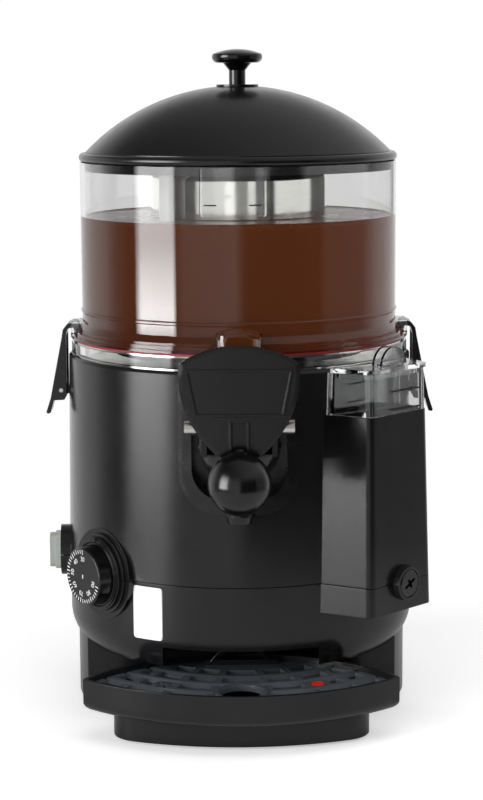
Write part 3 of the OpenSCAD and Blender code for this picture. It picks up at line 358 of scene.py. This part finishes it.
def clear_moulding(name, colour, roughness, ripple, ior=1.5):
    """Clear plastic: full transmission, and transparent to the lamps' shadow rays."""
    material, tree, shader = principled(name, colour, roughness, Transmission_Weight=1.0,
                                        IOR=ior)
    rough = spread(tree, noise(tree, 60), roughness, roughness + 0.03)
    tree.links.new(rough, shader.inputs["Roughness"])
    shade(tree, shader, spread(tree, noise(tree, 14), 0, 1), colour,
          tuple(min(1, c * 1.02) for c in colour))
    raise_grain(tree, shader, noise(tree, 22, detail=1), ripple)
    out = tree.nodes["Material Output"]
    path = add(tree, "LightPath")
    see = add(tree, "BsdfTransparent")
    see.inputs["Color"].default_value = (*colour, 1)
    mix = add(tree, "MixShader")
    tree.links.new(path.outputs["Is Shadow Ray"], mix.inputs[0])
    tree.links.new(shader.outputs[0], mix.inputs[1])
    tree.links.new(see.outputs[0], mix.inputs[2])
    tree.links.new(mix.outputs["Shader"], out.inputs["Surface"])
    return material


clear_wall = clear_moulding("clear_wall", (0.955, 0.96, 0.955), 0.0, 0.00002)
wear(["container", "base_ring"], clear_wall)
clear_tank = clear_moulding("clear_tank", (0.93, 0.935, 0.935), 0.01, 0.00012)
wear(["tank_window", "tank_lid"], clear_tank)
clear_boot = moulded("clear_boot", (0.5, 0.52, 0.5), 0.35, grain=900, vary=0.06,
                     Transmission_Weight=0.35, Subsurface_Weight=0.3, Subsurface_Scale=0.003)
wear(["switch_boot"], clear_boot)

# %% [markdown]
# The heating column is rolled from brushed sheet. Brushing leaves long fine scratches that
# run round it, so the noise has many cells along the height and few across. The pins' noise is
# finest from left to right, which puts a lathe's rings on the pin of the tap lever. The plated
# and cast parts are duller.

# %% metals


def brushed(name, colour, roughness, stretch, scale=900, depth=0.000004, vary=0.08):
    """Metal with long scratches: noise squeezed across the brushing direction."""
    material, tree, shader = principled(name, colour, roughness, Metallic=1.0)
    lines = noise(tree, scale, stretch, detail=4)
    shade(tree, shader, spread(tree, lines, 0, 1), tuple(c * (1 - vary) for c in colour),
          colour)
    tree.links.new(spread(tree, noise(tree, 70, detail=4), roughness - 0.05,
                          roughness + 0.06), shader.inputs["Roughness"])
    raise_grain(tree, shader, lines, depth)
    return material


column_steel = brushed("column_steel", (0.7, 0.69, 0.665), 0.11, (0.06, 0.06, 2.4))
wear(["heating_column", "bath_pan", "base_plate", "motor_bracket"], column_steel)
pin_steel = brushed("pin_steel", (0.68, 0.66, 0.61), 0.24, (3, 0.3, 0.3))
wear(["tap_pin", "drive_shaft", "latch_pins", "dial_spindle"], pin_steel)
zinc_plate = brushed("zinc_plate", (0.55, 0.55, 0.54), 0.35, (1, 1, 1))
wear(["base_screws", "knob_screw"], zinc_plate)
cast_metal = moulded("cast_metal", (0.16, 0.165, 0.175), 0.5, grain=900, Metallic=0.6)
wear(["gear_motor"], cast_metal)
heated_metal = brushed("heated_metal", (0.3, 0.27, 0.24), 0.4, (1, 1, 1), vary=0.3)
wear(["heater_ring"], heated_metal)

# %% [markdown]
# Seals are matte silicone, feet are rubber, and the inner mouldings are white. The float is
# a small red moulding, and the rocker glows green because its lamp is lit.

# %% rubbers and small mouldings
red_silicone = moulded("red_silicone", (0.28, 0.02, 0.022), 0.5, grain=1200)
wear(["bath_gasket", "shaft_seal", "outlet_seal", "piston_seal", "drain_seal"], red_silicone)
milky_silicone = moulded("milky_silicone", (0.68, 0.67, 0.63), 0.5, grain=1200, vary=0.06)
wear(["feed_pipe", "drain_pipe"], milky_silicone)
foot_rubber = moulded("foot_rubber", (0.012, 0.012, 0.012), 0.7, grain=1500)
wear(["rubber_feet"], foot_rubber)
inner_white = moulded("inner_white", (0.74, 0.74, 0.71), 0.35, grain=1500, vary=0.04)
wear(["stirrer", "piston", "terminal_block", "thermostat"], inner_white)
float_red = moulded("float_red", (0.72, 0.02, 0.012), 0.22, grain=700, vary=0.08)
wear(["tray_float"], float_red)
lamp_green = moulded("lamp_green", (0.05, 0.5, 0.2), 0.3, grain=700, vary=0.1,
                     Emission_Color=(0.05, 0.75, 0.35, 1), Emission_Strength=0.6)
wear(["switch_rocker"], lamp_green)

# %% [markdown]
# The drink is thick, brown and opaque, and it wets the wall: there is no air between them.
# So its body reaches a little into the wall, and its top surface climbs to the wall in a
# small curve. A slow swirl of milk fat varies the brown.

# %% finish of the drink
drink, tree, shader = principled("drink", (0.14, 0.0375, 0.011), 0.3,
                                 Subsurface_Weight=0.15, Subsurface_Scale=0.004)
shader.inputs["Subsurface Radius"].default_value = (1.0, 0.4, 0.2)
shade(tree, shader, spread(tree, noise(tree, 7, (1, 1, 0.4), detail=3), 0, 1),
      (0.123, 0.0325, 0.0094), (0.157, 0.0425, 0.0138))
# only the open surface shines: against the wall there is no air to reflect
surface = add(tree, "NewGeometry")
upward = add(tree, "SeparateXYZ")
tree.links.new(surface.outputs["Normal"], upward.inputs[0])
tree.links.new(spread(tree, upward.outputs["Z"], 0.02, 0.5), shader.inputs["Specular IOR Level"])
tree.links.new(spread(tree, noise(tree, 40), 0.24, 0.34), shader.inputs["Roughness"])
raise_grain(tree, shader, noise(tree, 14, (1, 1, 0.4), detail=1), 0.0001)
print("drink finish ready")

# %% [markdown]
# The body of the drink is one outline turned round the axis: up the inside of the wall, over
# the small climb that a liquid makes where it wets a wall, level across, and down the column.

# %% body of the drink
FLOOR_Z, FILL_Z = 262.6, 349.7            # floor of the container, top of the drink
DRINK_OUT, DRINK_IN = 111.0, 63.3         # radii at the wall and at the column
FOOT_OUT, FOOT_LOW, FOOT_HIGH = 105.2, 266.2, 285.0      # where the wall draws in
ROWS_TO = FILL_Z - 4                      # where the rows up the wall end
WALL_CLIMB = (4, 1.1)                     # width and height of the climb at the wall
COLUMN_CLIMB = (3, 0.9)                   # the same at the column
LEVEL_RADII = (95, 80, 68)
rise = np.linspace(0, 1, 9)
outline = np.concatenate([
    [(DRINK_IN, FLOOR_Z), (FOOT_OUT, FLOOR_Z), (FOOT_OUT, FOOT_LOW)],
    np.stack([np.full(12, DRINK_OUT), np.linspace(FOOT_HIGH, ROWS_TO, 12)], -1),
    # at the wall: height = fill + climb (1 - sin(90 deg u)) over u = 0..1 away from it
    np.stack([DRINK_OUT - WALL_CLIMB[0] * rise,
              FILL_Z + WALL_CLIMB[1] * (1 - np.sin(rise * math.pi / 2))], -1),
    [(radius, FILL_Z) for radius in LEVEL_RADII],
    # at the column: height = fill + climb (1 - cos(90 deg u)) over u = 0..1 towards it
    np.stack([DRINK_IN + COLUMN_CLIMB[0] * (1 - rise),
              FILL_Z + COLUMN_CLIMB[1] * (1 - np.cos(rise * math.pi / 2))], -1),
])
points, faces = turned_ring(outline)
chocolate = mesh_piece("chocolate_body", points, faces, "housing", drink)
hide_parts("chocolate_fill")
print("drink:", len(faces), "faces")

# %% [markdown]
# The drink also fills the outlet block over the tap. Seen from above the block is a strip
# with round corners, seen from the front it is an arch. At each step towards the front the
# same arch is drawn, and it narrows where the corners round off.

# %% drink in the outlet block
ARCH_R, ARCH_Z = 29.4, 250.0              # the arch's circle
BLOCK_HALF, BLOCK_FLOOR = 12.9, 266.7     # half width, height of the floor
BLOCK_REAR, BLOCK_FRONT = 107.0, 143.8    # distances in front of the axis
CORNER = 6.5                              # radius seen from above


def arch_body(straight=8, rounded=30, around=33):
    """Stations from rear to front; half width w(y) draws in on a circle near the front.

    The top is the arch: height = arch centre + sqrt(arch radius^2 - x^2). The first station
    of the rounded part is a little past the last one of the straight part.
    """
    bend = BLOCK_FRONT - CORNER
    turn = np.linspace(0.08, 1, rounded) * math.pi / 2
    y = np.concatenate([np.linspace(BLOCK_REAR, bend, straight), bend + CORNER * np.sin(turn)])
    over = np.clip((y - bend) / CORNER, 0, 1)
    half = BLOCK_HALF - CORNER * (1 - np.sqrt(np.clip(1 - over ** 2, 0, 1)))
    u = np.linspace(-1, 1, around)[None, :] * half[:, None]
    top = ARCH_Z + np.sqrt(ARCH_R ** 2 - u ** 2)
    depth = np.repeat(-y[:, None], around, 1)
    upper = np.stack([u, depth, top], -1)
    lower = np.stack([u, depth, np.full_like(u, BLOCK_FLOOR)], -1)
    return slab(lower, upper)


points, faces = arch_body()
mesh_piece("chocolate_in_outlet", points, faces, "housing", drink, smooth=False)
print("outlet drink:", len(faces), "faces")

# %% [markdown]
# A clear level film is stuck to the round wall. It is a rectangle with round corners wrapped
# on a cylinder: the rows near its top and bottom are shorter by what the corner circle takes
# away. Two short dark strokes on it mark the highest level.

# %% level film


def wrapped_plate(radius, thick, mid, half_width, z0, z1, corner, rows=17, columns=25):
    """Rounded rectangle on a cylinder; mid is its middle direction in radians from the front.

    Half width at a height = half_width - corner + sqrt(corner^2 - reach^2), where reach is
    how far the height goes into the corner circle.
    """
    tall = (z1 - z0) / 2
    v = np.sin(np.linspace(-1, 1, rows) * math.pi / 2) * tall
    reach = np.clip(np.abs(v) - (tall - corner), 0, corner)
    width = half_width - corner + np.sqrt(corner ** 2 - reach ** 2)
    a = mid + np.linspace(-1, 1, columns)[None, :] * width[:, None] / radius
    z = np.repeat((v + (z0 + z1) / 2)[:, None], columns, 1)
    front = np.stack([(radius + thick) * np.sin(a), -(radius + thick) * np.cos(a), z], -1)
    back = np.stack([radius * np.sin(a), -radius * np.cos(a), z], -1)
    return slab(front, back)


WALL_R = 113.5                            # outside of the container
FILM_THICK, INK_THICK = 0.14, 0.06
INK_R = WALL_R + FILM_THICK + 0.02        # a hair in front of the film
FILM_MID, FILM_HALF = -3.3, 22.7          # mm round the wall from the front
FILM_LOW, FILM_HIGH, FILM_CORNER = 355.7, 388.4, 2.0
STROKE_LOW, STROKE_HIGH, STROKE_CORNER = 363.2, 364.1, 0.2
film_clear = clear_moulding("film_clear", (0.95, 0.955, 0.95), 0.05, 0.00002, 1.3)
points, faces = wrapped_plate(WALL_R, FILM_THICK, FILM_MID / WALL_R, FILM_HALF, FILM_LOW,
                              FILM_HIGH, FILM_CORNER)
mesh_piece("level_film", points, faces, "housing", film_clear)
mark_black = moulded("mark_black", (0.012, 0.011, 0.01), 0.5)
for name, start, end in (("level_stroke_left", -23.0, -14.6), ("level_stroke_right", 7.4, 16.0)):
    points, faces = wrapped_plate(INK_R, INK_THICK, (start + end) / 2 / WALL_R,
                                  (end - start) / 2, STROKE_LOW, STROKE_HIGH, STROKE_CORNER,
                                  rows=5)
    mesh_piece(name, points, faces, "housing", mark_black)
print("level film with two strokes")

# %% [markdown]
# The label on the lower housing is a plain white plate of the same kind: glossy paper, with
# only the faintest grain.

# %% blank label
BOWL_R, LABEL_THICK = 125.25, 0.16        # outside of the lower housing
LABEL_AZ, LABEL_HALF = math.radians(-30.9), 12.0
LABEL_LOW, LABEL_HIGH, LABEL_CORNER = 64.5, 101.8, 2.2
label_white = moulded("label_white", (0.86, 0.86, 0.85), 0.35, grain=900, vary=0.02,
                      depth=0.00001)
points, faces = wrapped_plate(BOWL_R, LABEL_THICK, LABEL_AZ, LABEL_HALF, LABEL_LOW,
                              LABEL_HIGH, LABEL_CORNER)
mesh_piece("blank_label", points, faces, "housing", label_white)
print("label:", len(faces), "faces")

# %% [markdown]
# The dial's face carries a plain printed scale: short strokes, a number at every fifth and a
# small centre mark. Strokes are thin slabs laid on the face, each straight along a radius.

# %% strokes on the dial
DIAL_AZ = math.radians(-50.7)             # which way the dial faces
DIAL_FACE, DIAL_Z = 142.12, 105.0         # distance of its face from the axis, its height
dial_right = np.array([math.cos(DIAL_AZ), math.sin(DIAL_AZ), 0])
dial_out = np.array([math.sin(DIAL_AZ), -math.cos(DIAL_AZ), 0])
UP = np.array([0.0, 0, 1])


def on_dial(x, y, height):
    """A point x right of, y above and height in front of the middle of the dial's face."""
    middle = dial_out * DIAL_FACE + UP * DIAL_Z
    return (middle + np.multiply.outer(x, dial_right) + np.multiply.outer(y, UP)
            + np.multiply.outer(height, dial_out))


def stroke(angle, r0, r1, width):
    """Straight slab on the dial along a radius, from r0 to r1.

    Its corners are r (cos a, sin a) + w (sin a, -cos a), with w half the width to each side.
    """
    r, w = np.meshgrid([r0, r1], [-width / 2, width / 2], indexing="ij")
    x = r * math.cos(angle) + w * math.sin(angle)
    y = r * math.sin(angle) - w * math.cos(angle)
    front, back = on_dial(x, y, np.full_like(x, PRINT_THICK)), on_dial(x, y, 0 * x)
    return slab(front[:, ::-1], back[:, ::-1])


def join(parts):
    """Several meshes in one: the faces of each are moved past the points before it."""
    points, faces, count = [], [], 0
    for some_points, some_faces in parts:
        points.append(some_points)
        faces.append(np.asarray(some_faces) + count)
        count += len(some_points)
    return np.concatenate(points), np.concatenate(faces)


PRINT_THICK = 0.12
SCALE_FROM, SCALE_STEP, SCALE_STROKES = math.radians(90), math.radians(8.5), 31
NUMBER_EVERY = 5
LONG_FROM, SHORT_FROM, STROKE_TO = 15.4, 16.2, 18.9      # radii on the dial
STROKE_WIDE, CENTRE_REACH, CENTRE_WIDE = 0.6, 1.3, 0.8
strokes = [stroke(SCALE_FROM + i * SCALE_STEP, SHORT_FROM if i % NUMBER_EVERY else LONG_FROM,
                  STROKE_TO, STROKE_WIDE) for i in range(SCALE_STROKES)]
strokes.append(stroke(SCALE_FROM, -CENTRE_REACH, CENTRE_REACH, CENTRE_WIDE))
points, faces = join(strokes)
mark_white = moulded("mark_white", (0.8, 0.8, 0.79), 0.45, grain=900, vary=0.03)
mesh_piece("dial_strokes", points, faces, "dial", mark_white, smooth=False)
print("dial:", SCALE_STROKES, "strokes and a centre mark")

# %% [markdown]
# The numbers stand with their tops pointing outward. Blender's text gives each one as a flat
# mesh, whose points are then turned to their stroke and set on the dial's face.

# %% numbers on the dial


def number_mesh(text, size, thick):
    """Points in the text's own plane and its faces, with the text's middle at 0, 0."""
    curve = bpy.data.curves.new("number", "FONT")
    curve.body, curve.size = text, size
    curve.align_x, curve.align_y = "CENTER", "CENTER"
    curve.extrude, curve.resolution_u = thick / 2, 3
    letter = bpy.data.objects.new("number", curve)
    bpy.context.scene.collection.objects.link(letter)
    bpy.context.view_layer.update()
    flat = bpy.data.meshes.new_from_object(letter.evaluated_get(
        bpy.context.evaluated_depsgraph_get()))
    points = np.empty(len(flat.vertices) * 3)
    flat.vertices.foreach_get("co", points)
    faces = [list(p.vertices) for p in flat.polygons]
    bpy.data.objects.remove(letter)
    bpy.data.meshes.remove(flat)
    return points.reshape(-1, 3), faces


def weld(piece, distance=1e-7):
    """Merges the doubled points that a text mesh has along its edges."""
    work = bmesh.new()
    work.from_mesh(piece.data)
    bmesh.ops.remove_doubles(work, verts=work.verts, dist=distance)
    bmesh.ops.recalc_face_normals(work, faces=work.faces)
    work.to_mesh(piece.data)
    work.free()


NUMBERS, NUMBER_SIZE, NUMBER_R = ("30", "40", "50", "60", "70", "80", "90"), 4.8, 12.2
numbers, number_faces, count = [], [], 0
for i, text in enumerate(NUMBERS):
    flat, some_faces = number_mesh(text, NUMBER_SIZE, PRINT_THICK)
    a = SCALE_FROM + i * NUMBER_EVERY * SCALE_STEP
    across, out = flat[:, 0], flat[:, 1] + NUMBER_R
    x = across * math.sin(a) + out * math.cos(a)
    y = -across * math.cos(a) + out * math.sin(a)
    numbers.append(on_dial(x, y, flat[:, 2] + PRINT_THICK / 2))
    number_faces += [[v + count for v in face] for face in some_faces]
    count += len(flat)
mesh = bpy.data.meshes.new("dial_numbers")
mesh.from_pydata(((np.concatenate(numbers) + (0, AXIS_Y, 0)) * MM).tolist(), [], number_faces)
mesh.materials.append(mark_white)
dial_numbers = bpy.data.objects.new("dial_numbers", mesh)
bpy.context.scene.collection.objects.link(dial_numbers)
weld(dial_numbers)
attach(dial_numbers, "dial")
print("dial:", len(NUMBERS), "numbers")

# %% [markdown]
# The tap's return spring is pressed together as the piston goes down, which no rigid piece can
# show. It is drawn again as a helix of round wire, with its foot on the tap's ledge. It rides
# on no body.

# %% return spring
TAP_Y = 136.2                             # how far the tap's bore is in front of the axis
COIL_R, WIRE_R, COIL_TURNS = 6.6, 0.7, 6
COIL_LOW, COIL_HIGH = 176.8, 197.2


def helix(per_turn=24, sides=8):
    """Round wire along a helix, its two ends closed with flat caps.

    At turn angle t and wire angle b the point is ((R + w cos b) cos t, (R + w cos b) sin t,
    low + (high - low) t / (2 pi turns) + w sin b).
    """
    rings = COIL_TURNS * per_turn + 1
    t = np.linspace(0, 2 * math.pi * COIL_TURNS, rings)[:, None]
    b = np.linspace(0, 2 * math.pi, sides, endpoint=False)[None, :]
    r = COIL_R + WIRE_R * np.cos(b)
    z = np.linspace(COIL_LOW, COIL_HIGH, rings)[:, None] + WIRE_R * np.sin(b)
    points = np.stack([r * np.cos(t), r * np.sin(t) - TAP_Y, z], -1)
    foot = np.array([[0, k, k + 1, k + 2] for k in range(1, sides - 1, 2)])
    top = foot[:, ::-1] + (rings - 1) * sides
    return points, np.concatenate([grid_faces(rings, sides, wrap_columns=True)[:, ::-1],
                                   foot, top])


spring_points, spring_faces = helix()
spring = mesh_piece("return_spring", spring_points, spring_faces, None, pin_steel)
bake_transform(spring)
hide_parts("piston_spring")
print("return spring:", len(spring_faces), "faces")

# %% [markdown]
# The tank has two level lines printed on its window. They are flat strips on the outer
# face, so they are made like the dial's strokes, in the face's own plane.

# %% tank level lines
TANK_AZ = math.radians(45.8)              # which way the tank faces
TANK_FOOT_Z, TANK_TOP_Z = 84.0, 250.6
TANK_FOOT_FACE, TANK_LEAN = 154.6, 3.4    # distance of its face at the foot, lean to the top
LINE_HEIGHTS, LINE_FROM, LINE_TO, LINE_WIDE = (237.0, 224.4), -7.7, 21.8, 1.2
LINE_BACK, LINE_FRONT = 0.02, 0.14        # in front of the tank's face
tank_right = np.array([math.cos(TANK_AZ), math.sin(TANK_AZ), 0])
tank_out = np.array([math.sin(TANK_AZ), -math.cos(TANK_AZ), 0])


def on_tank(x, y, height):
    """A point x right of the middle of the tank's outer face, at height y, a little in front.

    The face leans in as it rises: distance = foot distance - lean * (y - foot) / (top - foot).
    """
    reach = TANK_FOOT_FACE - TANK_LEAN * (y - TANK_FOOT_Z) / (TANK_TOP_Z - TANK_FOOT_Z) + height
    return (np.multiply.outer(reach, tank_out) + np.multiply.outer(x, tank_right)
            + np.multiply.outer(y, UP))


lines = []
for z in LINE_HEIGHTS:
    x, y = np.meshgrid([LINE_FROM, LINE_TO], [z - LINE_WIDE / 2, z + LINE_WIDE / 2],
                       indexing="ij")
    lines.append(slab(on_tank(x, y, 0 * x + LINE_FRONT), on_tank(x, y, 0 * x + LINE_BACK)))
points, faces = join(lines)
mesh_piece("tank_level_lines", points, faces, "housing", mark_black,
           smooth=False)
print("tank: two level lines")

# %% [markdown]
# The machine stands on a pale round table top. A glow lifts it to white where it is lit, and
# leaves the shadow under the machine. Only rays that leave the camera or have passed clear
# plastic see that glow, so it lights nothing and no black part mirrors it.

# %% table top
TABLE_R, TABLE_RINGS, TABLE_STEPS = 0.62, 12, 128        # metres, and counts
a = np.linspace(0, 2 * math.pi, TABLE_STEPS, endpoint=False)
radii = np.linspace(0.02, TABLE_R, TABLE_RINGS)
# rings of points r (cos a, sin a), and one point in the middle
rings = np.stack([np.outer(radii, np.cos(a)), np.outer(radii, np.sin(a)),
                  np.zeros((TABLE_RINGS, TABLE_STEPS))], -1)
middle = rings.size // 3
table_points = np.concatenate([rings.reshape(-1, 3), [[0, 0, 0]]])
inner = np.stack([np.full(TABLE_STEPS, middle), np.arange(TABLE_STEPS),
                  (np.arange(TABLE_STEPS) + 1) % TABLE_STEPS], -1)
outer = grid_faces(TABLE_RINGS, TABLE_STEPS, False, True)[:, ::-1]
table_mesh = bpy.data.meshes.new("table_top")
table_mesh.from_pydata(table_points.tolist(), [], outer.tolist() + inner.tolist())
table = bpy.data.objects.new("table_top", table_mesh)
bpy.context.scene.collection.objects.link(table)
print("table top of radius", TABLE_R, "m")

# %% [markdown]
# Its paint is a pale matt white with a slow drift. The glow is an Emission shader added to
# it, whose strength is 0 for every ray but those two kinds.

# %% white of the table top
TABLE_GLOW = 0.45
table_white, tree, shader = principled("table_white", (0.8, 0.8, 0.8), 0.6)
shade(tree, shader, spread(tree, noise(tree, 6), 0, 1), (0.79, 0.79, 0.79), (0.81, 0.81, 0.81))
path = add(tree, "LightPath")
seen = combine(tree, "MAXIMUM", path.outputs["Is Camera Ray"],
               path.outputs["Is Transmission Ray"])
glow = add(tree, "Emission")
tree.links.new(combine(tree, "MULTIPLY", seen, TABLE_GLOW), glow.inputs["Strength"])
both = add(tree, "AddShader")
tree.links.new(shader.outputs[0], both.inputs[0])
tree.links.new(glow.outputs[0], both.inputs[1])
tree.links.new(both.outputs[0], tree.nodes["Material Output"].inputs["Surface"])
table_mesh.materials.append(table_white)
print("table glow", TABLE_GLOW)

# %% [markdown]
# The room is the world's background, which has one level of grey for each direction.
# The direction of a ray gives two things to steer by: its height, from -1 to 1, and its
# bearing, from 0 to 1 once round, with 0.5 where the camera stands.

# %% directions in the room
world = bpy.data.worlds.new("studio")
bpy.context.scene.world = world
world.use_nodes = True
tree = world.node_tree
where = add(tree, "TexCoord")
apart = add(tree, "SeparateXYZ")
tree.links.new(where.outputs["Generated"], apart.inputs[0])
rightward, height = apart.outputs["X"], apart.outputs["Z"]
forward = combine(tree, "MULTIPLY", apart.outputs["Y"], -1)
bearing = spread(tree, combine(tree, "ARCTAN2", rightward, forward), 0, 1, -math.pi, math.pi)


def share_of_turn(degrees):
    """Degrees right of the camera's side, from -180 to 180, as a bearing from 0 to 1."""
    return (degrees + 180) / 360


print("directions ready")

# %% [markdown]
# Glossy surfaces show the room, so its darks and lights are what draws them. Two ramps go once
# round the horizon: one for black plastic and the outside of the clear wall, and one with
# stronger bands for the steel column, which stands behind that wall.

# %% light and dark round the horizon


def horizon(stops):
    """Brightness round the horizon, from (degrees right of the camera's side, level) pairs."""
    walls = add(tree, "ValToRGB")
    ramp = walls.color_ramp
    while len(ramp.elements) < len(stops):
        ramp.elements.new(0.5)
    # places first, because an element that moves past another changes its number
    for element, (degrees, level) in zip(ramp.elements, stops):
        element.position = share_of_turn(degrees)
    for element, (degrees, level) in zip(ramp.elements, stops):
        element.color = (level, level, level, 1)
    tree.links.new(bearing, walls.inputs[0])
    return walls.outputs[0]


ROOM = [(-180, 1.0), (-125, 0.9), (-112, 0.9), (-100, 0.35), (-86, 0.1), (-80, 0.1),
        (-44, 0.3), (-40, 0.6), (-20, 0.7), (-3, 0.8), (5, 0.05), (60, 0.04), (66, 0.3),
        (100, 0.3), (118, 0.9), (180, 1.0)]
COLUMN = [(-180, 0.9), (-120, 0.9), (-112, 0.3), (-90, 0.04), (-58, 0.02), (-54, 0.95),
          (-19, 1.0), (-15, 1.7), (-5, 1.7), (-2, 0.42), (11, 0.38), (15, 1.3), (21, 1.3),
          (24, 0.06), (46, 0.06), (51, 1.15), (105, 1.15), (112, 0.05), (157, 0.06), (164, 0.9),
          (180, 0.9)]
room, column = horizon(ROOM), horizon(COLUMN)
print("ramps with", len(ROOM), "and", len(COLUMN), "stops")

# %% [markdown]
# A tall softbox on the left draws the bright upright band on the container's wall and the
# sheen on the housing below it, and it lights matt surfaces too. It is a patch of the room
# with soft edges: each edge is a ramp between two levels, and the patch is their product.
# It is brightest near its lower edge.

# %% softbox in the room
SOFTBOX = 20.0
PATCH_EDGES = [                           # value steered by, its level at start and at end
    (bearing, 0, 1, share_of_turn(-80), share_of_turn(-74)),
    (bearing, 1, 0, share_of_turn(-48), share_of_turn(-45)),
    (height, 0, 1, -0.15, -0.115),
    (height, 1, 0.5, -0.115, -0.08),
    (height, 1, 0, 0.5, 0.6),
]
patch = 1.0
for value, first, last, start, end in PATCH_EDGES:
    patch = combine(tree, "MULTIPLY", patch, spread(tree, value, first, last, start, end))
room = blend(tree, patch, room, SOFTBOX)
print("softbox of level", SOFTBOX)

# %% [markdown]
# Above the horizon a plain ceiling takes over. Over the plastic it is dark on the left and
# paler on the right, and over the steel it is an even grey.

# %% ceiling
ceiling = spread(tree, rightward, 0.1, 0.7, -0.6, 0.9)
room = blend(tree, spread(tree, height, 0, 1, 0.25, 0.6), room, ceiling)
column = blend(tree, spread(tree, height, 0, 1, 0.35, 0.8), column, 0.35)
print("ceiling ready")

# %% [markdown]
# Which of the two a ray sees depends on its way. One that has gone through clear plastic and
# then off the steel sees the column's room. One that came only through clear plastic sees a
# plain pale sweep, and one straight from the camera sees white, as in the photograph.

# %% what each kind of ray sees
THROUGH_CLEAR = 0.72
path = add(tree, "LightPath")
behind_wall = combine(tree, "GREATER_THAN", path.outputs["Transmission Depth"], 0.5)
studio = blend(tree, behind_wall, room, column)
bounces = combine(tree, "ADD", path.outputs["Glossy Depth"], path.outputs["Diffuse Depth"])
through = combine(tree, "MULTIPLY", path.outputs["Is Transmission Ray"],
                  combine(tree, "LESS_THAN", bounces, 0.5))
studio = blend(tree, through, studio, THROUGH_CLEAR)
studio = blend(tree, path.outputs["Is Camera Ray"], studio, 1.0)
tree.links.new(studio, tree.nodes["Background"].inputs["Color"])
print("room ready, sweep level", THROUGH_CLEAR)

# %% [markdown]
# Three soft lamps light the machine at a plain level: one above, one front left, one right.
# They reach matt light only, so no lamp shows as a spot in a glossy surface: what those
# reflect is the room above.

# %% lamps


def soft_lamp(name, at, size, power):
    """Area lamp of a size in metres that looks at the middle of the machine; power in watts."""
    data = bpy.data.lights.new(name, "AREA")
    data.shape, data.size, data.size_y = "RECTANGLE", size[0], size[1]
    data.energy = power
    lamp = bpy.data.objects.new(name, data)
    lamp.location = at
    lamp.rotation_euler = (Vector(MIDDLE) - Vector(at)).to_track_quat("-Z", "Y").to_euler()
    lamp.visible_camera = lamp.visible_transmission = lamp.visible_glossy = False
    bpy.context.scene.collection.objects.link(lamp)


MIDDLE = (0, 0, 0.25)
soft_lamp("lamp_above", (0.1, -0.5, 1.9), (1.3, 1.0), 10)
soft_lamp("lamp_front_left", (-1.3, -1.5, 1.0), (0.9, 1.2), 10)
soft_lamp("lamp_right", (1.7, -0.6, 0.8), (0.7, 1.2), 7)
print("three lamps")

# %% [markdown]
# The picture is shown with the plain view transform.

# %% finish
bpy.context.scene.view_settings.view_transform = "Standard"
bpy.context.view_layer.update()
